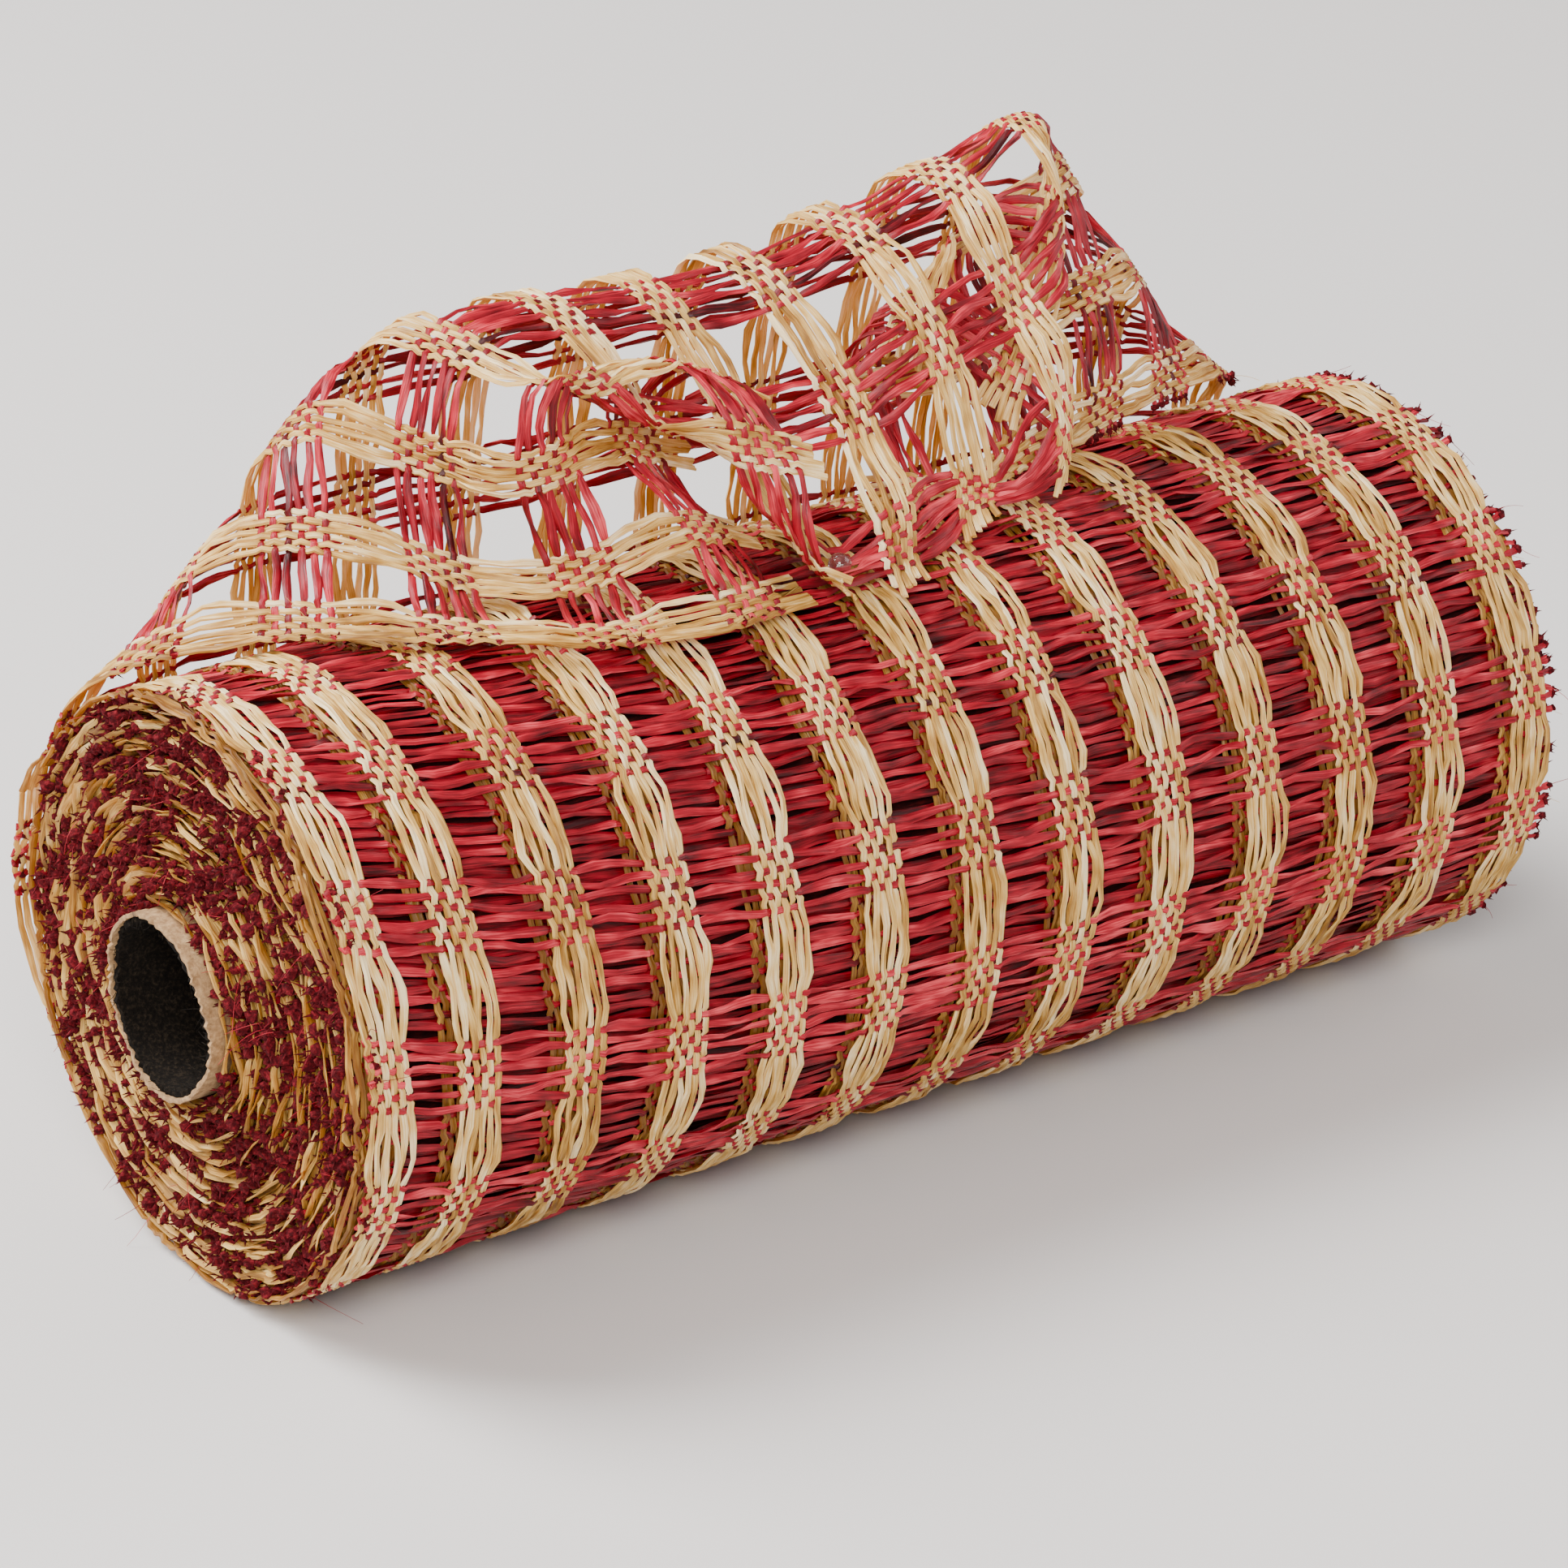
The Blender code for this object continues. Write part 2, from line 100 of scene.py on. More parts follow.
# How far the last turn stands off the roll near its near end, by angle round the roll.
LOOSE_WRAP = [(-95, 0.0), (-60, 3.3), (-42, 5.2), (-28, 5.0), (-19, 7.0), (-9, 9.6),
              (0, 10.4), (15, 7.4), (30, 4.3)]
LOOSE_REACH = 150.0
# The free end's net: its stiffness against shear and bending, and how it comes to rest.
NET_SIZE = (27, 16)
SETTLE_STEPS = 2000
SHEAR = 0.06
BEND = 0.04
HOLD = 0.6
APART = 0.35
APART_EVERY = 4
PACE = 0.25
DRAG = 0.9
ROLL_SPACE = 1.6
LAYER_SPACE = 9.0
# Places of the web that are held: u, s and where each lies, from the core's axis.
HELD_POINTS = [
    (-127, 17, (-126, 39, 41)), (-127, 40, (-111, 22, 51)), (-127, 60, (-96, 5, 55)),
    (-127, 90, (-69, -14, 55)), (-127, 120, (-39, -22, 53)), (-127, 147, (-15, -21, 52)),
    (-102, 55, (-88, 27, 69)), (-102, 81, (-69, 12, 63)), (-102, 107, (-49, -1, 62)),
    (-102, 133, (-28, -3, 65)), (-81, 55, (-79, 40, 83)), (-81, 81, (-65, 21, 80)),
    (-81, 107, (-54, 3, 80)), (-81, 133, (-29, 14, 78)), (-61, 66, (-61, 39, 95)),
    (-61, 81, (-55, 26, 94)), (-61, 107, (-45, 3, 88)), (-61, 133, (-22, 8, 88)),
    (-41, 68, (-39, 34, 97)), (-41, 81, (-34, 23, 94)), (-41, 107, (-29, 4, 79)),
    (-41, 120, (-24, -4, 80)), (-41, 133, (-19, -11, 74)), (-20, 68, (-19, 33, 97)),
    (-20, 107, (-9, 2, 74)), (-20, 133, (-11, -17, 56)), (-20, 147, (-13, -27, 53)),
    (0, 68, (2, 33, 98)), (0, 107, (11, 1, 74)), (0, 133, (9, -16, 54)), (0, 147, (4, -26, 51)),
    (20, 68, (23, 35, 101)), (20, 107, (29, 0, 83)), (20, 133, (28, -9, 60)),
    (20, 147, (24, -17, 55)), (41, 68, (46, 35, 105)), (41, 81, (47, 22, 105)),
    (41, 107, (47, 5, 85)), (41, 147, (42, -14, 57)), (61, 70, (68, 35, 108)),
    (82, 81, (73, 28, 96)), (82, 133, (31, 13, 85)), (102, 81, (74, 17, 79)),
    (102, 107, (49, 16, 75)), (102, 133, (27, 17, 72)), (127, 40, (109, 25, 52)),
    (127, 60, (90, 17, 54)), (127, 90, (62, 4, 56)), (127, 120, (33, -6, 56)),
    (127, 147, (8, -8, 57)),
]
PIN_PLACES = {"near": (-5.3, -15.5, 54.4), "far": (34.0, 0.4, 56.0)}

# The paper strips: six side by side in a band or group, flat-folded.
STRIPS = 6
WARP_PITCH = 1.5
PICK_PITCH = 2.3
WEAVE_LIFT = 0.4
WEB_DEPTH = 0.8
SPLICE = 14.0
LAST_TURN = 343.0
LAYER_PITCH = 0.92
UNDER_DEPTH = 1.9
DEEP_DEPTH = 3.0
UNDER_SHIFT = -2.6
# At the roll's ends: stations along a wound strip, and how far in each of three strips lies.
FACE_SPACING = 3.4
FACE_INSETS = (-0.4, 0.9, 2.3)
# Corners round a strip, as shares of its half width and half thickness, with a lengthwise crease.
WARP_SECTION = [(1, 0), (0.6, 0.8), (0.05, 0.62), (-0.55, 1), (-1, -0.1), (0, -0.8)]
WEFT_SECTION = [(1, 0), (0.4, 1), (-0.5, 0.7), (-1, 0), (0, -0.9)]


def smooth_step(t):
    t = np.clip(t, 0.0, 1.0)
    return t * t * (3 - 2 * t)


def full_turn(count):
    return np.linspace(0, 2 * np.pi, count, endpoint=False)


def unit(vectors):
    return vectors / np.maximum(np.linalg.norm(vectors, axis=-1, keepdims=True), 1e-9)


def wander(seeds, at, period, amount):
    """A slow irregular wave for each strip, from three sines of its own."""
    total = 0.0
    for number, (stretch, share) in enumerate([(1.0, 0.5), (0.61, 0.32), (0.37, 0.18)]):
        phase = np.random.default_rng(977 * number + 13).uniform(0, 2 * np.pi, 4096)[seeds % 4096]
        total = total + share * np.sin(2 * np.pi * at / (period * stretch) + phase)
    return amount * 1.6 * total


def roll_points(x, turn, depth, loose=1.0):
    """Points on the roll, where turn is degrees on from the hinge line, down the back."""
    angle = HINGE_ANGLE - turn
    degrees, lifts = zip(*LOOSE_WRAP)
    lift = np.interp(angle, degrees, lifts) * loose
    fade = 1 - smooth_step((x + WEB_WIDTH / 2) / LOOSE_REACH)
    radius = ROLL_RADIUS + lift * fade - depth
    y = radius * np.cos(np.radians(angle))
    z = np.maximum(AXIS_Z + radius * np.sin(np.radians(angle)), depth)
    return np.stack([x, y, z], -1)


def group_middle(number, x):
    """How far back round the roll, as a place s, the middle of a weft group is at each x."""
    step = GROUP_STEP if number >= FRONT_GROUP else BACK_STEP
    near = FRONT_TURN + step * (number - FRONT_GROUP)
    drift = GROUP_DRIFT * min(1.0, near / DRIFT_BUILDS)
    turn = near - drift * (1 - np.exp(-(x + WEB_WIDTH / 2) / DRIFT_REACH))
    return -np.radians(turn) * ROLL_RADIUS


class FreeWeb:
    """The free end as a net that keeps its lengths between the places that hold it."""

    def __init__(self):
        self.size = columns, rows = NET_SIZE
        across = np.linspace(-WEB_WIDTH / 2, WEB_WIDTH / 2, columns)
        along = np.linspace(0, FREE_LENGTH, rows)
        self.step = (across[1] - across[0], along[1] - along[0])
        line = np.radians(HINGE_ANGLE)
        hinge = (HINGE_RADIUS * math.cos(line), HINGE_RADIUS * math.sin(line))
        self.held = [(u, s, np.array(p, float)) for u, s, p in HELD_POINTS]
        root = [(u, 0.0, np.array((u, *hinge))) for u in across]
        grid_u, grid_s = np.meshgrid(across, along, indexing="ij")
        weight = np.zeros(self.size)
        self.net = np.zeros((*self.size, 3))
        for u, s, place in self.held + root[::2]:
            pull = 1 / ((grid_u - u) ** 2 + (grid_s - s) ** 2 + 4) ** 2
            weight += pull
            self.net += pull[..., None] * place
        self.net /= weight[..., None]
        self.net[:, 0] = [place for _, _, place in root]
        index = np.stack(np.meshgrid(np.arange(columns), np.arange(rows), indexing="ij"), -1).reshape(-1, 2)
        near = np.abs(index[:, None] - index[None]).max(-1) < 3
        self.together = np.where(near, LAYER_SPACE, 0.0)
        self.settle()

    def settle(self):
        """Let the net come to rest: threads keep their length, folds stay round."""
        du, ds = self.step
        every = slice(None)
        head, tail, mid = slice(None, -1), slice(1, None), slice(1, -1)
        low, high = slice(None, -2), slice(2, None)
        threads = [((head, every), (tail, every), du, 1.0), ((every, head), (every, tail), ds, 1.0),
                   ((head, head), (tail, tail), math.hypot(du, ds), SHEAR),
                   ((tail, head), (head, tail), math.hypot(du, ds), SHEAR)]
        folds = [((low, every), (mid, every), (high, every)), ((every, low), (every, mid), (every, high))]
        cells = [self.cell(u, s) for u, s, _ in self.held]
        targets = np.array([place for _, _, place in self.held])
        corners = []
        for di in (0, 1):
            for dj in (0, 1):
                i = np.array([c[0] + di for c in cells])
                j = np.array([c[1] + dj for c in cells])
                share = np.array([(c[2] if di else 1 - c[2]) * (c[3] if dj else 1 - c[3]) for c in cells])
                corners.append((i, j, share[:, None]))
        net = self.net
        speed = np.zeros_like(net)
        for turn in range(SETTLE_STEPS):
            force = np.zeros_like(net)
            for a, b, rest, stiffness in threads:
                line = net[b] - net[a]
                length = np.maximum(np.linalg.norm(line, axis=-1, keepdims=True), 1e-6)
                pull = stiffness * (1 - rest / length) * line
                force[a] += pull
                force[b] -= pull
            for a, b, c in folds:
                bend = BEND * (net[a] - 2 * net[b] + net[c])
                force[a] -= bend
                force[b] += 2 * bend
                force[c] -= bend
            off = targets - sum(net[i, j] * share for i, j, share in corners)
            for i, j, share in corners:
                np.add.at(force, (i, j), HOLD * off * share)
            if turn % APART_EVERY == 0:
                push = self.keep_apart(net)
            force += push
            radial = net[..., 1:]
            radius = np.linalg.norm(radial, axis=-1, keepdims=True)
            force[..., 1:] += np.maximum(ROLL_RADIUS + ROLL_SPACE - radius, 0) * radial / radius
            force[:, 0] = 0
            speed = (speed + PACE * force) * DRAG
            net = net + speed
        self.net = net

    def keep_apart(self, net):
        """Push apart the places where one layer of the web comes too near another."""
        flat = net.reshape(-1, 3)
        line = flat[:, None] - flat[None]
        far = np.sqrt((line ** 2).sum(-1)) + self.together
        close = np.maximum(LAYER_SPACE - far, 0)
        return (APART * (close / far)[..., None] * line).sum(1).reshape(net.shape)

    def cell(self, u, s):
        a = (u + WEB_WIDTH / 2) / self.step[0]
        b = s / self.step[1]
        i = min(max(int(a), 0), self.size[0] - 2)
        j = min(max(int(b), 0), self.size[1] - 2)
        return i, j, a - i, b - j

    @staticmethod
    def shares(at, count):
        """The cell that each place is in, and the four weights of a smooth curve there."""
        i = np.clip(np.floor(at).astype(int), 0, count - 2)
        t = at - i
        weights = np.stack([-t + 2 * t ** 2 - t ** 3, 2 - 5 * t ** 2 + 3 * t ** 3,
                            t + 4 * t ** 2 - 3 * t ** 3, t ** 3 - t ** 2], -1) / 2
        return i, weights

    def at(self, u, s):
        """Points of the net's smooth surface at each place."""
        i, across = self.shares((u + WEB_WIDTH / 2) / self.step[0], self.size[0])
        j, along = self.shares(s / self.step[1], self.size[1])
        points = np.zeros((*u.shape, 3))
        for a in range(4):
            row = np.clip(i + a - 1, 0, self.size[0] - 1)
            for b in range(4):
                column = np.clip(j + b - 1, 0, self.size[1] - 1)
                points += (across[..., a] * along[..., b])[..., None] * self.net[row, column]
        points[..., 2] += AXIS_Z
        return points


def web_middle(web, u, s):
    """The web's middle at each place, on the free end or back round the roll."""
    turn = np.degrees(np.maximum(-s, 0) / ROLL_RADIUS)
    # Its other end dives under the free end's root.
    dive = 1.3 * smooth_step((turn - LAST_TURN + 50) / 45)
    wound = roll_points(u, turn, WEB_DEPTH + dive)
    start = np.zeros_like(s)
    ease = 1 - smooth_step(-s / SPLICE)
    wound = wound + (web.at(u, start) - roll_points(u, start, WEB_DEPTH)) * ease[..., None]
    return np.where((s > 0)[..., None], web.at(u, np.maximum(s, 0)), wound)


def pin_line(side):
    """A pin's head middle and the way it is drawn out: square to its arm from the hinge."""
    x, y, height = PIN_PLACES[side]
    head = np.array((x, y, height + AXIS_Z))
    line = math.radians(HINGE_ANGLE)
    arm = head[1:] - (HINGE_RADIUS * math.cos(line), HINGE_RADIUS * math.sin(line) + AXIS_Z)
    return head, np.array((0.0, arm[1], -arm[0])) / np.linalg.norm(arm)


def held_by_pins(points):
    """The web dips and parts round each pin, whose head holds it down."""
    for side, radius in PIN_HEADS.items():
        head, out = pin_line(side)
        over = (points - head) @ out
        beside = points - head - over[..., None] * out
        apart = np.linalg.norm(beside, axis=-1)
        caught = 1 - smooth_step((over - PIN_CATCH) / PIN_CATCH)
        # In front of the pin the web goes on down with the roll's own curve.
        front = np.maximum(beside @ np.array((0.0, -out[2], out[1])), 0)
        reach = np.sqrt(np.maximum(apart ** 2 - (1 - DIP_STRETCH ** -2) * front ** 2, 0))
        above = np.maximum(over + radius / 2 + DIP_SLOPE * front, 0)
        dip = np.exp(-(reach / PIN_DIP) ** 2) * above * caught
        part = (radius + STRIP_ROOM) * np.clip(1 - apart / (3 * radius), 0, 1) ** 2 * caught
        aside = beside / np.maximum(apart, 0.1)[..., None]
        points = points - out * dip[..., None] + aside * part[..., None]
    return points


def on_surface(surface, u, s, lift):
    """Points lifted off a surface, and the outward direction at each."""
    near = 0.7
    along = surface(u, s + near) - surface(u, s - near)
    across = surface(u + near, s) - surface(u - near, s)
    out = unit(np.cross(along, across))
    return surface(u, s) + out * lift[..., None], out


def add_mesh(name, points, faces, made_of, smooth=True, attributes=()):
    mesh = bpy.data.meshes.new(name)
    mesh.from_pydata((points * MM).tolist(), [], faces)
    for title, kind, values in attributes:
        field = "vector" if kind == "FLOAT_VECTOR" else "value"
        layer = mesh.attributes.new(title, kind, "POINT")
        layer.data.foreach_set(field, np.asarray(values, np.float32).ravel())
    if smooth:
        mesh.shade_smooth()
        mesh.set_sharp_from_angle(angle=SHARP_ANGLE)
    mesh.materials.append(made_of)
    obj = bpy.data.objects.new(name, mesh)
    bpy.context.scene.collection.objects.link(obj)
    return obj


def add_strips(name, points, out, width, thickness, twist, section, made_of, tone_and_shade=None):
    """Many strips as one mesh: arrays are (strips, stations), widths and thicknesses whole."""
    count, stations = points.shape[:2]
    shape = np.array(section, float)
    corners = len(shape)
    tangent = unit(np.gradient(points, axis=1))
    side = unit(np.cross(tangent, out))
    up = np.cross(side, tangent)
    cos, sin = np.cos(twist)[..., None], np.sin(twist)[..., None]
    across = (side * cos + up * sin)[:, :, None] * (width / 2)[:, :, None, None]
    over = (up * cos - side * sin)[:, :, None] * (thickness / 2)[:, :, None, None]
    ring = points[:, :, None] + across * shape[:, :1] + over * shape[:, 1:]
    index = np.arange(count * stations * corners).reshape(count, stations, corners)
    turned = np.roll(index, -1, axis=2)
    quads = np.stack([index[:, :-1], index[:, 1:], turned[:, 1:], turned[:, :-1]], -1).reshape(-1, 4)
    faces = quads.tolist() + index[:, 0].tolist() + index[:, -1, ::-1].tolist()
    length = np.zeros((count, stations))
    length[:, 1:] = np.cumsum(np.linalg.norm(np.diff(points, axis=1), axis=-1), axis=1)
    fibre = np.zeros((count, stations, corners, 3))
    fibre[..., 0] = shape[:, 0] * 0.8
    fibre[..., 1] = length[..., None]
    fibre[..., 2] = np.arange(count)[:, None, None] * 7.3
    # Each strip's random tone, plus the offsets passed in, which darken deeper strips as painted shade.
    shade = np.zeros((count, stations, corners))
    own = np.random.default_rng(len(name) + count).normal(0.5, 0.2, count)
    shade += own[:, None, None] if tone_and_shade is None else (own[:, None] + tone_and_shade)[:, :, None]
    return add_mesh(name, ring.reshape(-1, 3), faces, made_of,
                    attributes=[("fibre", "FLOAT_VECTOR", fibre), ("tone_and_shade", "FLOAT", shade)])


def flat_area(width, points):
    """The strips' own flat area, in square metres."""
    lengths = np.linalg.norm(np.diff(points, axis=1), axis=-1)
    return float((lengths * (width[:, 1:] + width[:, :-1]) / 2).sum()) * MM * MM


# Materials.

def paint(hex_code):
    """An sRGB hex colour as linear values."""
    parts = [int(hex_code[i:i + 2], 16) / 255 for i in (1, 3, 5)]
    return tuple(p / 12.92 if p <= 0.04045 else ((p + 0.055) / 1.055) ** 2.4 for p in parts) + (1.0,)


def add_node(tree, kind, links=None, values=None, **settings):
    """Add a node: links and values go to its sockets, settings are its own or a socket's."""
    node = tree.nodes.new(kind)
    for key, value in settings.items():
        if hasattr(node, key):
            setattr(node, key, value)
        else:
            node.inputs[key.replace("_", " ")].default_value = value
    for socket, value in (values or {}).items():
        node.inputs[socket].default_value = value
    for socket, source in (links or {}).items():
        tree.links.new(source, node.inputs[socket])
    return node


def new_material(name):
    made = bpy.data.materials.new(name)
    made.use_nodes = True
    tree = made.node_tree
    tree.nodes.clear()
    return made, tree


def colour_stops(tree, factor, stops):
    ramp = add_node(tree, "ShaderNodeValToRGB", {"Fac": factor})
    points = ramp.color_ramp.elements
    while len(points) < len(stops):
        points.new(0.5)
    for point, (place, shade) in zip(points, stops):
        point.position = place
        point.color = paint(shade)
    return ramp.outputs["Color"]


def strip_paper(name, stops, roughness, through, through_share, gloss):
    """Paper strip, folded flat: fine lengthwise fibres and creases, satin where calendered."""
    made, tree = new_material(name)
    fibre = add_node(tree, "ShaderNodeAttribute", attribute_name="fibre").outputs["Vector"]
    tone_and_shade = add_node(tree, "ShaderNodeAttribute", attribute_name="tone_and_shade").outputs["Fac"]
    # Fibres 0.25 mm wide and 7 mm long, blotches 2 mm wide and 4.5 mm long.
    place = add_node(tree, "ShaderNodeMapping", {"Vector": fibre}, Scale=(4.0, 0.14, 1.0))
    streaks = add_node(tree, "ShaderNodeTexNoise", {"Vector": place.outputs[0]},
                       Scale=1.0, Detail=3.0, Roughness=0.6)
    wide = add_node(tree, "ShaderNodeMapping", {"Vector": fibre}, Scale=(0.5, 0.22, 1.0))
    blotch = add_node(tree, "ShaderNodeTexNoise", {"Vector": wide.outputs[0]}, Scale=1.0, Detail=1.0)
    # Streaks, blotches and each strip's tone, weighed together; the tone holds painted shade for deeper
    # strips.
    first = add_node(tree, "ShaderNodeMath", {0: streaks.outputs["Fac"]}, {1: 0.85}, operation="MULTIPLY")
    second = add_node(tree, "ShaderNodeMath", {0: blotch.outputs["Fac"], 2: first.outputs[0]}, {1: 0.5},
                      operation="MULTIPLY_ADD")
    third = add_node(tree, "ShaderNodeMath", {0: tone_and_shade, 2: second.outputs[0]}, {1: 0.45},
                     operation="MULTIPLY_ADD")
    fourth = add_node(tree, "ShaderNodeMath", {0: third.outputs[0]}, {1: 0.4}, operation="SUBTRACT")
    colour = colour_stops(tree, fourth.outputs[0], stops)
    rough = add_node(tree, "ShaderNodeMapRange", {"Value": streaks.outputs["Fac"]},
                     To_Min=roughness - 0.08, To_Max=roughness + 0.14)
    bump = add_node(tree, "ShaderNodeBump", {"Height": streaks.outputs["Fac"]},
                    Strength=0.55, Distance=0.0003)
    feeds = {"Base Color": colour, "Roughness": rough.outputs[0], "Normal": bump.outputs[0]}
    shader = add_node(tree, "ShaderNodeBsdfPrincipled", feeds, IOR=1.48, Specular_IOR_Level=gloss)
    thin = add_node(tree, "ShaderNodeBsdfTranslucent", {"Normal": bump.outputs[0]}, Color=paint(through))
    mix = add_node(tree, "ShaderNodeMixShader", {1: shader.outputs[0], 2: thin.outputs[0]},
                   {0: through_share})
    add_node(tree, "ShaderNodeOutputMaterial", {"Surface": mix.outputs[0]})
    return made


def plain_coat(name, stops, roughness, scale, stretch=(1, 1, 1), depth=0.0003, **sockets):
    """A matt material whose colour and relief follow one noise, scale in patches per metre."""
    made, tree = new_material(name)
    place = add_node(tree, "ShaderNodeTexCoord").outputs["Object"]
    mapped = add_node(tree, "ShaderNodeMapping", {"Vector": place}, Scale=stretch)
    noise = add_node(tree, "ShaderNodeTexNoise", {"Vector": mapped.outputs[0]},
                     Scale=scale, Detail=6.0, Roughness=0.65)
    colour = colour_stops(tree, noise.outputs["Fac"], stops)
    bump = add_node(tree, "ShaderNodeBump", {"Height": noise.outputs["Fac"]}, Strength=0.8, Distance=depth)
    shader = add_node(tree, "ShaderNodeBsdfPrincipled", {"Base Color": colour, "Normal": bump.outputs[0]},
                      Roughness=roughness, **sockets)
    add_node(tree, "ShaderNodeOutputMaterial", {"Surface": shader.outputs[0]})
    return made


def kraft_liner():
    """Kraft paper, spiral-wound: brown, matt, flecked, with the edge of each wrap showing."""
    made, tree = new_material("kraft paper liner")
    place = add_node(tree, "ShaderNodeTexCoord").outputs["Object"]
    low = add_node(tree, "ShaderNodeVectorMath", {0: place}, {1: (0, 0, AXIS_Z * MM)}, operation="SUBTRACT")
    parts = add_node(tree, "ShaderNodeSeparateXYZ", {0: low.outputs[0]})
    angle = add_node(tree, "ShaderNodeMath", {0: parts.outputs["Z"], 1: parts.outputs["Y"]},
                     operation="ARCTAN2")
    turns = add_node(tree, "ShaderNodeMath", {0: angle.outputs[0]}, {1: 2 * math.pi}, operation="DIVIDE")
    # One wrap of the liner moves 62 mm along the tube.
    climb = add_node(tree, "ShaderNodeMath", {0: parts.outputs["X"], 2: turns.outputs[0]}, {1: 1 / 0.062},
                     operation="MULTIPLY_ADD")
    lap = add_node(tree, "ShaderNodeMath", {0: climb.outputs[0]}, operation="FRACT")
    seam = add_node(tree, "ShaderNodeMapRange", {"Value": lap.outputs[0]}, From_Min=0.0, From_Max=0.018)
    fleck = add_node(tree, "ShaderNodeTexNoise", {"Vector": place}, Scale=900.0, Detail=6.0, Roughness=0.7)
    mixed = add_node(tree, "ShaderNodeMath", {0: fleck.outputs["Fac"], 1: seam.outputs[0]},
                     operation="MULTIPLY")
    colour = colour_stops(tree, mixed.outputs[0],
                          [(0.0, "#4A3422"), (0.38, "#7E5E3C"), (0.55, "#9A7A54"), (0.75, "#B8966C")])
    bump = add_node(tree, "ShaderNodeBump", {"Height": mixed.outputs[0]}, Strength=0.6, Distance=0.0002)
    shader = add_node(tree, "ShaderNodeBsdfPrincipled", {"Base Color": colour, "Normal": bump.outputs[0]},
                      Roughness=0.78)
    add_node(tree, "ShaderNodeOutputMaterial", {"Surface": shader.outputs[0]})
    return made


def solid_coat(name, colour, roughness, **sockets):
    """One plain finish, with a faint smear in its roughness from handling."""
    made, tree = new_material(name)
    place = add_node(tree, "ShaderNodeTexCoord").outputs["Object"]
    smear = add_node(tree, "ShaderNodeTexNoise", {"Vector": place}, Scale=400.0, Detail=3.0)
    rough = add_node(tree, "ShaderNodeMapRange", {"Value": smear.outputs["Fac"]},
                     To_Min=roughness, To_Max=roughness + 0.06)
    shader = add_node(tree, "ShaderNodeBsdfPrincipled", {"Roughness": rough.outputs[0]},
                      Base_Color=paint(colour), **sockets)
    add_node(tree, "ShaderNodeOutputMaterial", {"Surface": shader.outputs[0]})
    return made


# Straw-coloured paper, glazed between rollers: satin, with light through it when lit from behind. Its
# darkest stops are mostly reached through the painted shade given to deeper strips.
NATURAL = strip_paper("calendered straw paper strip",
                      [(0.08, "#6E4814"), (0.3, "#B08438"), (0.52, "#E4C06C"), (0.76, "#FFF0BC")],
                      roughness=0.42, through="#FFBC44", through_share=0.3, gloss=0.45)
# The same paper dyed through: carmine that runs darker and paler with streaks, blotches and each strip's
# tone; its darkest stops are mostly reached through the painted shade given to deeper strips.
RED = strip_paper("dyed paper strip, carmine",
                  [(0.12, "#300004"), (0.34, "#740414"), (0.55, "#A20E24"), (0.8, "#E04C54")],
                  roughness=0.37, through="#D01020", through_share=0.1, gloss=0.3)
# Torn ends of dyed paper: matt fuzz that holds shadow, so it looks maroon.
KNOT = plain_coat("frayed paper, maroon", [(0.3, "#240206"), (0.5, "#4C0810"), (0.7, "#801E26")],
                  0.9, 1400, depth=0.0006, Specular_IOR_Level=0.12)
# Paper deep between the turns, dark because little light gets there.
INNER = plain_coat("wound paper in the roll's depth", [(0.3, "#100102"), (0.5, "#260405"), (0.7, "#4A0C0C")],
                   0.9, 500, stretch=(0.5, 2, 2), depth=0.0008, Specular_IOR_Level=0.1)
KRAFT = kraft_liner()
# Raw grey board inside the tube, no gloss: painted near black in the bore, as painted shade.
BOARD = plain_coat("grey chipboard painted near black as shade", [(0.3, "#070504"), (0.5, "#120E0A"), (0.7, "#2C241B")],
                   0.92, 1500, depth=0.0004, Specular_IOR_Level=0.1)
# Flame-drawn glass: clear, faintly green, with a sharp highlight.
GLASS = solid_coat("clear soda glass", "#DDF0E2", 0.02, Transmission_Weight=1.0, IOR=1.52)
# Drawn and plated wire: bright, slightly warm.
STEEL = solid_coat("nickel-plated steel wire", "#C9C7C1", 0.18, Metallic=1.0)
FLOOR = solid_coat("matt painted board", "#C9C6C4", 0.8)


# The weave.

def band_middles():
    inner = [WEB_WIDTH / 2 - BAND_WIDTH / 2 - BAND_STEP * i for i in range(BAND_COUNT - 1)]
    return np.array([-(WEB_WIDTH - BAND_WIDTH) / 2] + inner[::-1])


def strip_places():
    """Every warp strip's place across the web, and its number in its band."""
    number = np.arange(STRIPS) - (STRIPS - 1) / 2
    places = band_middles()[:, None] + number * WARP_PITCH
    return places.ravel(), np.tile(np.arange(STRIPS), BAND_COUNT)


def crossing_stations(middles, pitch, ends, spacing):
    """Stations along a strip: every crossing of each group with the gaps between them, and
    the floats in between.  Gives places, the crossing's number (or -1) and how woven it is."""
    forward = np.min(ends[1]) > ends[0]
    crossing = (np.arange(2 * STRIPS + 1) - STRIPS) / 2 * (pitch if forward else -pitch)
    places, numbers, woven = [], [], []

    def float_over(low, high):
        steps = max(int(round(np.min(np.abs(high - low)) / spacing)), 1)
        for step in range(1, steps):
            places.append(low + (high - low) * step / steps)
            numbers.append(-1)
            woven.append(0.0)

    places.append(np.broadcast_to(ends[0], middles[0].shape))
    numbers.append(-1)
    woven.append(0.0)
    for middle in middles:
        float_over(places[-1], middle + crossing[0])
        for k, offset in enumerate(crossing):
            places.append(middle + offset)
            count = (k - 1) // 2 if forward else STRIPS - 1 - (k - 1) // 2
            numbers.append(count if k % 2 else -1)
            woven.append(1.0 if k % 2 else 0.6)
    float_over(places[-1], np.broadcast_to(ends[1], middles[0].shape))
    places.append(np.broadcast_to(ends[1], middles[0].shape))
    numbers.append(-1)
    woven.append(0.0)
    return np.stack(places, -1), np.array(numbers), np.array(woven)


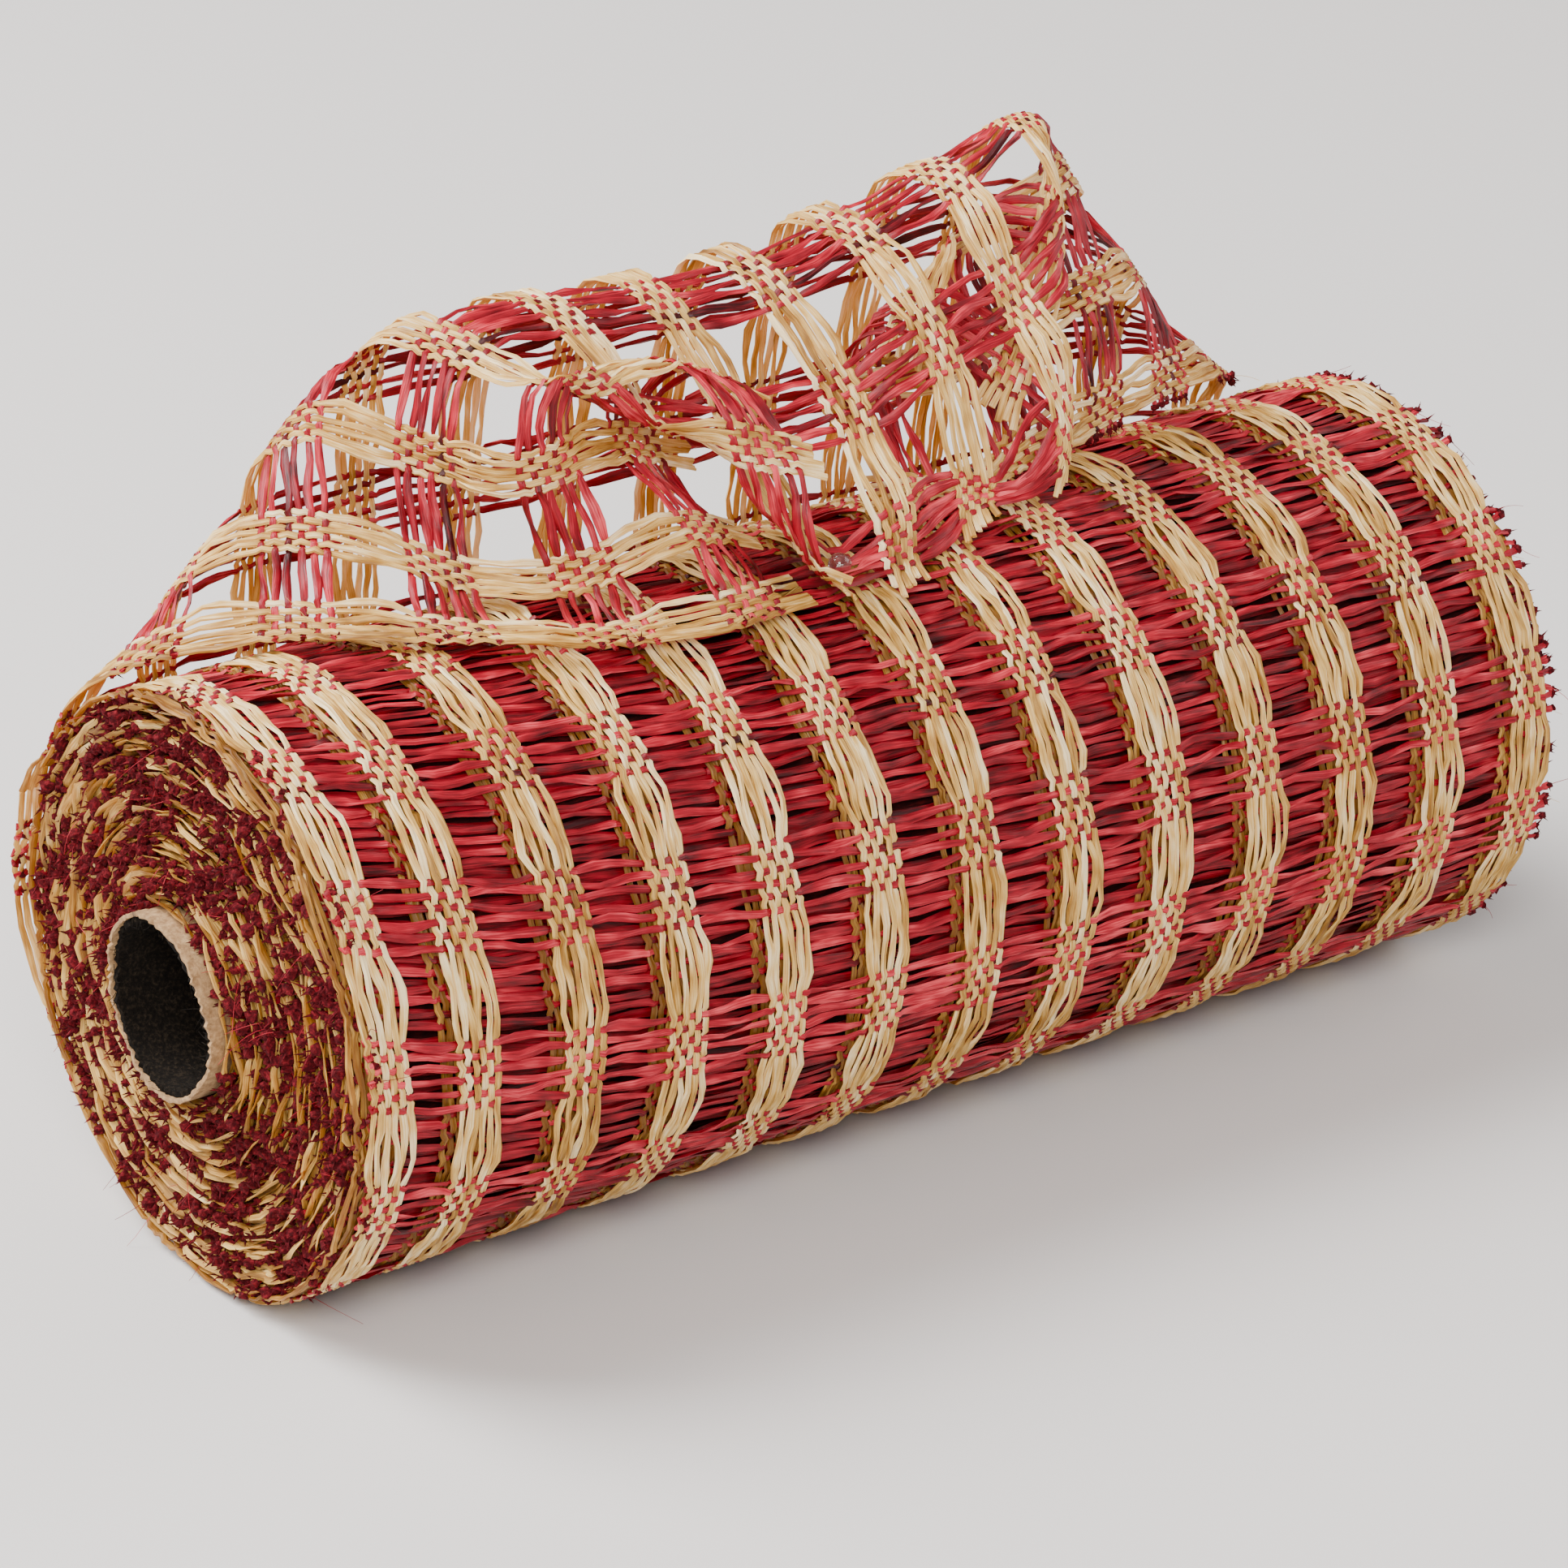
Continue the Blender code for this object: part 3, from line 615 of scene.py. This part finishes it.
def weave_warps(name, surface, strips, middles, ends, made_of, spacing=2.8, shift=0.0, tone_and_shade=0.0):
    """Warp strips over and under the picks of each group, floating side by side between."""
    places, numbers = strip_places()
    u, number = places[strips], numbers[strips]
    seeds = np.asarray(strips)[:, None] * 31 + int(abs(shift) * 10)
    s, crossing, woven = crossing_stations([m(u) for m in middles], PICK_PITCH, ends, spacing)
    over = np.where(crossing >= 0, np.where((number[:, None] + crossing) % 2 == 0, 1.0, -1.0), 0.0)
    free = 1 - woven
    lift = over * WEAVE_LIFT + free * (0.32 + wander(seeds, s, 15, 0.2))
    band = np.asarray(strips)[:, None] // STRIPS
    drift = wander(seeds + 7, s, 26, 0.3) * (0.3 + free) + wander(band + 99, s, 60, 0.25)
    width = 1.2 + free * (0.14 + wander(seeds + 3, s, 19, 0.24)) + over * 0.1
    twist = wander(seeds + 5, s, 21, 0.32) * (0.25 + free)
    spread = (number - (STRIPS - 1) / 2)[:, None] * WARP_PITCH * (0.06 - 0.2 * woven)
    points, out = on_surface(surface, u[:, None] + shift + drift + spread, s, lift)
    thickness = 0.66 + 0.12 * free + 0 * s
    shade = tone_and_shade + wander(seeds + 11, s, 34, 0.18)
    obj = add_strips(name, points, out, width, thickness, twist, WARP_SECTION, made_of, shade)
    return obj, flat_area(width, points)


def weave_wefts(name, surface, groups, made_of, spacing=3.2, shift=0.0, tone_and_shade=0.0, past=1.4):
    """Picks across the whole web, over and under the warp strips of each band."""
    places, _ = strip_places()
    middles = [np.full(1, m + shift) for m in band_middles()]
    ends = (-WEB_WIDTH / 2 - past, WEB_WIDTH / 2 + past)
    u, crossing, woven = crossing_stations(middles, WARP_PITCH, ends, spacing)
    pick = np.tile(np.arange(STRIPS), len(groups))
    rows = len(groups) * STRIPS
    u = np.repeat(u, rows, axis=0)
    middle = np.concatenate([np.repeat(group(u[:1]), STRIPS, axis=0) for group in groups])
    seeds = np.arange(rows)[:, None] * 17 + int(tone_and_shade * 50) + 501
    over = np.where(crossing >= 0, np.where((pick[:, None] + crossing) % 2 == 0, -1.0, 1.0), 0.0)
    free = 1 - woven
    lift = over * WEAVE_LIFT - free * (0.1 + wander(seeds, u, 22, 0.28))
    zigzag = wander(seeds + 3, u, 41, 0.5) * (0.25 + free)
    s = middle + (pick[:, None] - (STRIPS - 1) / 2) * PICK_PITCH + zigzag
    width = 1.15 + free * (0.5 + wander(seeds + 5, u, 33, 0.34)) + over * 0.1
    twist = wander(seeds + 9, u, 29, 0.5) * (0.2 + free)
    inside = np.clip(u, -WEB_WIDTH / 2, WEB_WIDTH / 2)
    points, out = on_surface(surface, inside, s, lift)
    # Past the selvage a pick runs straight on.
    outward = surface(inside, s) - surface(inside - np.sign(u), s)
    beyond = points + outward * np.abs(u - inside)[..., None] * np.sign(u)[..., None]
    points = np.where((np.abs(u - inside) > 0)[..., None], beyond, points)
    thickness = 0.6 + 0.16 * free + 0 * s
    shade = tone_and_shade + wander(seeds + 13, u, 37, 0.2)
    obj = add_strips(name, points, out, width, thickness, twist, WEFT_SECTION, made_of, shade)
    return obj, flat_area(width, points), points


def add_knots(name, places, out, size, made_of, seed):
    """Frayed ends of picks: a small lump each, with two stiff shreds standing off it."""
    rng = np.random.default_rng(seed)
    ball = bmesh.new()
    bmesh.ops.create_icosphere(ball, subdivisions=1, radius=1.0)
    lump = np.array([v.co[:] for v in ball.verts])
    lump_faces = np.array([[v.index for v in f.verts] for f in ball.faces])
    ball.free()
    count = len(places)
    jitter = rng.uniform(0.62, 1.3, (count, len(lump), 1))
    stretch = rng.uniform(0.65, 1.25, (count, 1, 3))
    sizes = size * rng.uniform(0.7, 1.2, (count, 1, 1))
    body = places[:, None] + lump * jitter * stretch * sizes
    shreds = []
    for _ in range(2):
        way = unit(out + rng.normal(0, 0.9, (count, 3)))
        side = unit(np.cross(way, rng.normal(0, 1, (count, 3))))
        third = np.cross(way, side)
        reach = size * rng.uniform(1.4, 2.6, (count, 1))
        foot = size * 0.34
        tip = places + way * reach + side * rng.normal(0, 0.3, (count, 1)) * size
        shreds.append(np.stack([places + side * foot, places - side * foot * 0.5 + third * foot,
                                places - side * foot * 0.5 - third * foot, tip], 1))
    verts = np.concatenate([body, *shreds], 1)
    per = verts.shape[1]
    first = len(lump)
    spike = np.array([(0, 1, 3), (1, 2, 3), (2, 0, 3), (0, 2, 1)])
    faces = np.concatenate([lump_faces, spike + first, spike + first + 4])
    faces = (np.arange(count)[:, None, None] * per + faces).reshape(-1, 3).tolist()
    return add_mesh(name, verts.reshape(-1, 3), faces, made_of, smooth=False)


def add_hairs(name, places, out, length, made_of, seed, droop=0.5):
    """Loose fibres: hair-fine curved threads standing off the paper."""
    rng = np.random.default_rng(seed)
    count, stations = len(places), 7
    way = unit(out + rng.normal(0, 0.5, (count, 3)))
    curl = rng.normal(0, 0.6, (count, 3)) - np.array((0, 0, droop))
    t = np.linspace(0, 1, stations)[None, :, None]
    reach = length * rng.uniform(0.4, 1.2, (count, 1, 1))
    points = places[:, None] + reach * (t * way[:, None] + t ** 2 * curl[:, None] * 0.5)
    points[..., 2] = np.maximum(points[..., 2], 0.3)
    upright = np.broadcast_to(np.array((0.3, 0.2, 0.93)), points.shape)
    width = np.broadcast_to(0.16 - 0.08 * t[..., 0], (count, stations))
    triangle = [(1, -0.5), (0, 1), (-1, -0.5)]
    return add_strips(name, points, upright, width, width, 0 * width, triangle, made_of)


# The free end and the last turn.

web = FreeWeb()


def outer_surface(u, s):
    middle = web_middle(web, u, s)
    return np.where((s > SPLICE)[..., None], held_by_pins(middle), middle)


def under_surface(u, s):
    return roll_points(u, np.degrees(-s / ROLL_RADIUS), UNDER_DEPTH, loose=0.0)


def deep_surface(u, s):
    return roll_points(u, np.degrees(-s / ROLL_RADIUS), DEEP_DEPTH, loose=0.0)


def free_row(number):
    return lambda x: np.full_like(x, FREE_ROW_FIRST + FREE_ROW_STEP * number)


def roll_group(number):
    return lambda x: group_middle(number, x)


def between_group(number):
    """A group of the turn beneath, half a step on from the one over it."""
    return lambda x: group_middle(number, x) - np.radians(GROUP_STEP * 0.52) * ROLL_RADIUS


def end_of(places, side):
    """The last station of every pick on one side, and the way it points."""
    tip, before = (places[:, 0], places[:, 1]) if side < 0 else (places[:, -1], places[:, -2])
    return tip, unit(tip - before)


ALL_STRIPS = np.arange(BAND_COUNT * STRIPS)
NEAR_STRIPS = ALL_STRIPS[:6 * STRIPS]
FAR_STRIPS = ALL_STRIPS[6 * STRIPS:]
ROLL_END = -np.radians(LAST_TURN) * ROLL_RADIUS
free_rows = [free_row(k) for k in range(FREE_ROW_COUNT)]
roll_groups = [roll_group(k) for k in range(GROUP_COUNT)]

CUT_EDGE = np.where(ALL_STRIPS < 4 * STRIPS, 1.5, -3.5) + FREE_LENGTH + wander(ALL_STRIPS, 0.0, 10, 1.2)
free_warps, free_area = weave_warps("free_end_warps", outer_surface, ALL_STRIPS, free_rows,
                                    (-SPLICE, CUT_EDGE), NATURAL)
free_wefts, _, free_picks = weave_wefts("free_end_wefts", outer_surface, free_rows, RED)
near_warps, _ = weave_warps("last_turn_warps_near", outer_surface, NEAR_STRIPS, roll_groups,
                            (-SPLICE, ROLL_END), NATURAL)
far_warps, _ = weave_warps("last_turn_warps_far", outer_surface, FAR_STRIPS, roll_groups,
                           (-SPLICE, ROLL_END), NATURAL)
wefts, weft_area, picks = weave_wefts("last_turn_wefts", outer_surface, roll_groups, RED)

under_groups = [between_group(k) for k in range(-1, GROUP_COUNT)]
ROUND = -2 * np.pi * ROLL_RADIUS
# The turn beneath is painted darker as painted shade: its warps by -0.95 and its picks by -0.2 in tone.
under_warps, _ = weave_warps("under_turn_warps", under_surface, ALL_STRIPS, under_groups,
                             (0.0, ROUND), NATURAL, spacing=5.0, shift=UNDER_SHIFT, tone_and_shade=-0.95)
under_wefts, _, _ = weave_wefts("under_turn_wefts", under_surface, under_groups, RED,
                                spacing=5.0, shift=UNDER_SHIFT, tone_and_shade=-0.2, past=0.3)


def plain_picks(name, surface, step, made_of, tone_and_shade):
    """Picks of a deeper turn, seen only between the ones over them."""
    u = np.linspace(-WEB_WIDTH / 2, WEB_WIDTH / 2, 44)[None]
    start = np.arange(0, 2 * np.pi * ROLL_RADIUS, step)
    seeds = np.arange(len(start))[:, None] * 23
    lag = group_middle(8, u) - group_middle(8, u[:, :1])
    s = -start[:, None] + lag + wander(seeds, u, 60, 0.8)
    points, out = on_surface(surface, u + 0 * s, s, wander(seeds + 5, u, 31, 0.3))
    width = 1.8 + wander(seeds + 9, u, 37, 0.4)
    twist = wander(seeds + 2, u, 33, 0.5)
    return add_strips(name, points, out, width, 0.5 + 0 * width, twist, WEFT_SECTION, made_of, tone_and_shade + 0 * s)


# The deep turn's picks are painted darker, -0.4 in tone, as painted shade.
deep_wefts = plain_picks("deep_turn_wefts", deep_surface, 2.6, RED, -0.4)


# The wound mass and its ends.

def cone(radius):
    """How far the near end's face stands out at each radius, and the far end's is sunk in."""
    share = (radius - CORE_RADIUS) / (ROLL_RADIUS - CORE_RADIUS)
    return END_CONE * np.clip(1 - share / CONE_SHARE, 0, 1)


def turned_mass(name, made_of):
    outer, bore = ROLL_RADIUS - 4.0, CORE_RADIUS + 0.3
    half = WEB_WIDTH / 2 - 2.2
    radii = np.linspace(bore, outer, 12)
    xs = np.linspace(-half, half, 40)
    profile = [(-half - cone(r), r) for r in radii] + [(x, outer) for x in xs[1:-1]]
    profile += [(half - cone(r), r) for r in radii[::-1]] + [(x, bore) for x in xs[1:-1][::-1]]
    segments = 120
    angle = full_turn(segments)
    profile = np.array(profile, float)
    rng = np.random.default_rng(5)
    x = profile[:, 0, None] + rng.normal(0, 0.35, (len(profile), segments))
    radius = profile[:, 1, None] + rng.normal(0, 0.1, (len(profile), segments))
    y = radius * np.cos(angle)
    z = np.maximum(AXIS_Z + radius * np.sin(angle), DEEP_DEPTH + 0.6)
    points = np.stack([x, y, z], -1).reshape(-1, 3)
    index = np.arange(len(points)).reshape(len(profile), segments)
    step = np.roll(index, -1, axis=0)
    quads = np.stack([index, step, np.roll(step, -1, axis=1), np.roll(index, -1, axis=1)], -1)
    return add_mesh(name, points, quads.reshape(-1, 4)[:, ::-1].tolist(), made_of, smooth=False)


def spiral(side, inset, seeds):
    """One strip's path round every turn of the roll, seen at its end face."""
    turns = (ROLL_RADIUS - 2.2 - CORE_RADIUS - 0.8) / LAYER_PITCH
    middle_radius = 35
    angle = np.linspace(0, 2 * np.pi * turns, int(2 * np.pi * turns * middle_radius / FACE_SPACING))
    grow = LAYER_PITCH / (2 * np.pi)
    # Stations are even along the strip, so they bunch in angle as the roll grows.
    start = CORE_RADIUS + 0.8
    length = np.linspace(0, start * angle[-1] + grow * angle[-1] ** 2 / 2, len(angle))
    angle = (-start + np.sqrt(start ** 2 + 2 * grow * length)) / grow
    radius = start + grow * angle
    seeds = np.array([[seeds]])
    at = length[None]
    radius = radius + wander(seeds, at, 43, 0.42)[0] + wander(seeds + 1, at, 11, 0.16)[0]
    reach = WEB_WIDTH / 2 - inset + wander(seeds + 2, at, 33, 0.8)[0]
    x = np.where(side < 0, -reach - cone(radius), reach - cone(radius))
    way = HINGE_ANGLE * np.pi / 180 + angle
    y = radius * np.cos(way)
    z = AXIS_Z + radius * np.sin(way)
    z = np.maximum(z, 1.2 + (ROLL_RADIUS - radius) * 0.5)
    points = np.stack([x, y, z], -1)[None]
    out = np.stack([0 * way, np.cos(way), np.sin(way)], -1)[None]
    return points, out, at, length


def end_face(side, label):
    """One end of the roll: strip edges wound in a spiral, and the frayed ends of the picks."""
    pieces = []
    runs = []
    period = math.radians(GROUP_STEP) * ROLL_RADIUS

    def among_picks(at):
        """1 where a group of picks crosses the strip, 0 in the float between two groups."""
        phase = ((at + 1.6) % period) / period
        return smooth_step(phase / 0.08) * (1 - smooth_step((phase - 0.46) / 0.08))

    for number, inset in enumerate(FACE_INSETS):
        seed = 300 + 40 * number + (0 if side < 0 else 9)
        points, out, at, _ = spiral(side, inset, seed)
        bound = among_picks(at)
        points[..., 0] -= side * (1.2 * bound - 0.8)
        twist = wander(np.array([[seed + 5]]), at, 34, 0.8) + (0.6 if side < 0 else -0.6)
        twist = twist * (1 - 0.7 * bound)
        width = (1.25 + wander(np.array([[seed + 6]]), at, 17, 0.3)) * (1 - 0.4 * bound)
        # Strips set further in are painted darker, 0.22 a step, and so are their stretches pushed in under
        # the picks, 0.2: painted shade; the wander is the paper's own tone.
        tone_and_shade = wander(np.array([[seed + 8]]), at, 90, 0.3) - 0.22 * number - 0.2 * bound
        runs.append((points, out, width, twist, tone_and_shade))
    points, out, width, twist, tone_and_shade = [np.concatenate(parts) for parts in zip(*runs)]
    # The end face's strip edges are painted darker overall, by 0.28 in tone, as painted shade between the
    # turns.
    pieces.append(add_strips(f"wound_strips_{label}", points, out, width, 0.42 + 0 * width, twist,
                             WARP_SECTION, NATURAL, tone_and_shade - 0.28))
    # A pick every 2.3 mm for half of every 27.7 mm of the wound length.
    _, _, _, length = spiral(side, 0.0, 1)
    starts = np.arange(0, length[-1] - period, period)
    ends = (starts[:, None] + np.arange(STRIPS) * PICK_PITCH).ravel()
    rng = np.random.default_rng(71 if side < 0 else 72)
    ends = ends + rng.normal(0, 0.5, ends.shape)
    path, outward, _, _ = spiral(side, 0.0, 300 + (0 if side < 0 else 9))
    centre = np.stack([np.interp(ends, length, path[0, :, axis]) for axis in range(3)], -1)
    radial = unit(np.stack([np.interp(ends, length, outward[0, :, axis]) for axis in range(3)], -1))
    knots = centre + np.array((side * 1.0, 0, 0)) * rng.uniform(0.0, 1.5, (len(ends), 1))
    knots = knots + radial * rng.normal(0.2, 0.35, (len(ends), 1))
    ways = np.broadcast_to(np.array((float(side), 0, 0)), knots.shape)
    pieces.append(add_knots(f"pick_ends_{label}", knots, ways, 1.18, KNOT, 11 if side < 0 else 12))
    # The last few millimetres of each pick, showing between the strips.
    inner = knots - np.array((side * 5.0, 0, 0)) + rng.normal(0, 0.6, knots.shape)
    middle = (knots + inner) / 2 + radial * rng.normal(0, 0.4, (len(ends), 1))
    shafts = np.stack([inner, middle, knots], 1)
    around = np.cross(radial, ways)
    facing = unit(radial[:, None] + rng.normal(0, 0.5, (len(ends), 1, 1)) * around[:, None])
    facing = facing + np.zeros((1, 3, 1))
    wide = rng.uniform(0.8, 1.4, (len(ends), 1)) + np.zeros((1, 3))
    # The picks' ends between the strips are painted darker, -0.35 on average, as painted shade; the spread
    # about that is random tone.
    tone_and_shade = rng.normal(-0.35, 0.15, (len(ends), 1)) + np.zeros((1, 3))
    pieces.append(add_strips(f"pick_shafts_{label}", shafts, facing, wide, 0.4 + 0 * wide, 0 * wide,
                             WEFT_SECTION, RED, tone_and_shade))
    chosen = rng.choice(len(knots), 70, replace=False)
    fibre_paper = NATURAL if side > 0 else RED
    pieces.append(add_hairs(f"loose_fibres_{label}", knots[chosen], ways[chosen], 7.0, fibre_paper, 41))
    return pieces


mass = turned_mass("wound_depth", INNER)
near_face = end_face(-1, "near")
far_face = end_face(1, "far")


def selvage_knots(name, strips, seed):
    tips, ways = zip(*(end_of(strips, side) for side in (-1, 1)))
    tips, ways = np.concatenate(tips), np.concatenate(ways)
    return add_knots(name, tips + ways * 0.4, ways, 0.85, KNOT, seed), tips, ways


free_knots, free_tips, free_ways = selvage_knots("free_end_knots", free_picks, 21)
turn_knots, turn_tips, turn_ways = selvage_knots("last_turn_knots", picks, 22)
selvage_hairs = add_hairs("selvage_fibres", turn_tips[::3], turn_ways[::3], 8.0, RED, 43)
free_hairs = add_hairs("free_end_fibres", free_tips[::4], free_ways[::4], 7.0, NATURAL, 44)


# The core.

def core_tube(name, outer, inner, proud, ragged, made_of, seed):
    """A tube whose sawn ends are torn: the rim wanders in and out and its edge is bruised."""
    segments, rings = 144, 9
    angle = full_turn(segments)
    rng = np.random.default_rng(seed)
    start = CORE_SHIFT - CORE_LENGTH / 2 - proud
    end = CORE_SHIFT + CORE_LENGTH / 2 + proud
    near = np.array([0, 0.5, 1.2, 2.5, 6])
    xs = np.concatenate([start + near, np.linspace(start + 30, end - 30, rings), (end - near)[::-1]])
    waves = wander(np.full(segments, seed), angle * outer, 2 * np.pi * outer / 2, ragged * 0.7)
    waves = waves + rng.normal(0, ragged * 0.25, segments)
    between = (outer + inner) / 2
    radii = [(outer, xs), (between, xs[[-1]] + 0.1), (inner, xs[::-1]), (between, xs[[0]] - 0.1)]
    profile = [(x, r) for r, row in radii for x in row]
    xs_all, rs = np.array(profile).T
    fade = np.exp(-(xs_all - start) / 1.4) + np.exp(-(end - xs_all) / 1.4)
    x = xs_all[:, None] + waves * np.minimum(fade, 1)[:, None] * np.where(xs_all < 0, 1, -1)[:, None]
    bruise = rng.normal(0, 0.1, (len(rs), segments)) * np.minimum(fade, 1)[:, None]
    r = rs[:, None] + bruise
    points = np.stack([x, r * np.cos(angle), AXIS_Z + r * np.sin(angle)], -1).reshape(-1, 3)
    index = np.arange(len(points)).reshape(len(rs), segments)
    step = np.roll(index, -1, axis=0)
    quads = np.stack([index, np.roll(index, -1, axis=1), np.roll(step, -1, axis=1), step], -1)
    return add_mesh(name, points, quads.reshape(-1, 4)[:, ::-1].tolist(), made_of)


liner = core_tube("core_liner", CORE_RADIUS, CORE_RADIUS - LINER_WALL, 0.2, 0.7, KRAFT, 3)
board = core_tube("core_board", BOARD_RADIUS, BOARD_RADIUS - BOARD_WALL, -0.5, 0.9, BOARD, 4)
rim = full_turn(90)
RIM_RADIUS = CORE_RADIUS - 1.4
rim_places = np.stack([np.full_like(rim, CORE_SHIFT - CORE_LENGTH / 2 + 0.4), RIM_RADIUS * np.cos(rim),
                       AXIS_Z + RIM_RADIUS * np.sin(rim)], -1)
rim_ways = unit(np.stack([-0.6 + 0 * rim, -np.cos(rim), -np.sin(rim)], -1))
rim_fibres = add_hairs("core_rim_fibres", rim_places, rim_ways, 2.2, BOARD, 45, droop=0.1)


# The pins.

def pin_pieces(side):
    """A drawn glass ball fused to a plated wire, with a small collar of glass at its neck."""
    radius = PIN_HEADS[side]
    head, out = pin_line(side)
    tilt = math.atan2(-out[1], out[2])

    def along(profile, segments, name, made_of):
        rows = np.array(profile, float)
        angle = full_turn(segments)
        ring = np.stack([rows[:, 1, None] * np.cos(angle), rows[:, 1, None] * np.sin(angle),
                         rows[:, :1] + 0 * angle], -1).reshape(-1, 3)
        turned = ring.copy()
        turned[:, 1] = ring[:, 1] * math.cos(tilt) - ring[:, 2] * math.sin(tilt)
        turned[:, 2] = ring[:, 1] * math.sin(tilt) + ring[:, 2] * math.cos(tilt)
        index = np.arange(len(ring)).reshape(len(rows), segments)
        turned_index = np.roll(index, -1, axis=1)
        quads = np.stack([index[:-1], turned_index[:-1], turned_index[1:], index[1:]], -1)
        faces = quads.reshape(-1, 4).tolist() + [index[0, ::-1].tolist(), index[-1].tolist()]
        return add_mesh(name, turned + head, faces, made_of)

    ball = [(radius * math.sin(a), radius * math.cos(a)) for a in np.linspace(-1.25, 1.54, 22)]
    glass = along([(-radius - 0.35, 0.42), (-radius - 0.1, 0.55)] + ball, 36, f"pin_ball_{side}", GLASS)
    tip = -radius - PIN_LENGTH
    taper = [(tip, 0.02), (tip + 3.5, PIN_SHANK_RADIUS * 0.85), (tip + 6, PIN_SHANK_RADIUS)]
    wire = along(taper + [(-radius - 0.45, PIN_SHANK_RADIUS)], 16, f"pin_wire_{side}", STEEL)
    return glass, wire


pins = {side: pin_pieces(side) for side in PIN_HEADS}


# What each piece stands for and moves with.


def numbered(stem, numbers):
    return [f"{stem}_{n:02d}" for n in numbers]


def stands_for(obj, body, nodes=()):
    if body == "free_end":
        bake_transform(obj)
    else:
        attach(obj, body)
    if nodes:
        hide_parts(*nodes)


stands_for(near_warps, "roll", numbered("warp_band", range(1, 7)))
stands_for(far_warps, "roll", numbered("warp_band", range(7, 14)))
stands_for(wefts, "roll", numbered("weft_group", range(1, GROUP_COUNT + 1)))
stands_for(under_warps, "roll")
stands_for(under_wefts, "roll")
stands_for(deep_wefts, "roll")
stands_for(mass, "roll", ["wound_mesh"])
for piece in near_face + far_face:
    stands_for(piece, "roll")
stands_for(turn_knots, "roll")
stands_for(selvage_hairs, "roll")
stands_for(liner, "roll", ["core_outer_liner"])
stands_for(board, "roll", ["core_inner_ply"])
stands_for(rim_fibres, "roll")
for side, (glass, wire) in pins.items():
    stands_for(glass, f"pin_{side}", [f"pin_head_{side}"])
    stands_for(wire, f"pin_{side}", [f"pin_shank_{side}"])

FREE_WEFTS = numbered("free_weft_group", range(1, 5))
FREE_WEFTS += [f"free_weft_group_{n}_{side}" for n in ("05", "06") for side in ("near", "far")]
stands_for(free_warps, "free_end", numbered("free_warp_band", range(1, 14)))
stands_for(free_wefts, "free_end", FREE_WEFTS)
stands_for(free_knots, "free_end")
stands_for(free_hairs, "free_end")


# Floor, light and camera.

bpy.ops.mesh.primitive_plane_add(size=8.0, location=(0, 0, 0))
floor = bpy.context.object
floor.name = "floor"
floor.data.materials.append(FLOOR)

MIDDLE = (0, 0, 0.06)


def aimed(name, data, place, aim):
    obj = bpy.data.objects.new(name, data)
    obj.location = place
    obj.rotation_mode = "QUATERNION"
    obj.rotation_quaternion = (Vector(aim) - Vector(place)).to_track_quat("-Z", "Y")
    bpy.context.scene.collection.objects.link(obj)
    return obj


def soft_light(name, place, size, power, tint):
    lamp = bpy.data.lights.new(name, "AREA")
    lamp.shape = "SQUARE"
    lamp.size = size
    lamp.energy = power
    lamp.color = tint
    aimed(name, lamp, place, MIDDLE)


soft_light("key", (-0.9, 0.9, 1.5), 1.2, 100.0, (0.99, 0.99, 0.985))
soft_light("fill", (-1.0, -1.3, 1.2), 0.8, 48.0, (1.0, 0.975, 0.955))
soft_light("side", (1.4, -0.5, 0.9), 1.2, 14.0, (0.97, 0.98, 1.0))

world = bpy.data.worlds.new("studio")
world.use_nodes = True
world.node_tree.nodes["Background"].inputs["Color"].default_value = (0.97, 0.87, 0.84, 1)
world.node_tree.nodes["Background"].inputs["Strength"].default_value = 0.46
bpy.context.scene.world = world

CAMERA_PLACE = (-0.61429, -0.84965, 0.5297)
CAMERA_AIM = (-0.00606, 0.0, 0.06095)
camera = bpy.data.cameras.new("camera")
camera.sensor_width = 36.0
camera.lens = 148.1
camera.clip_start = 0.05
bpy.context.scene.camera = aimed("camera", camera, CAMERA_PLACE, CAMERA_AIM)
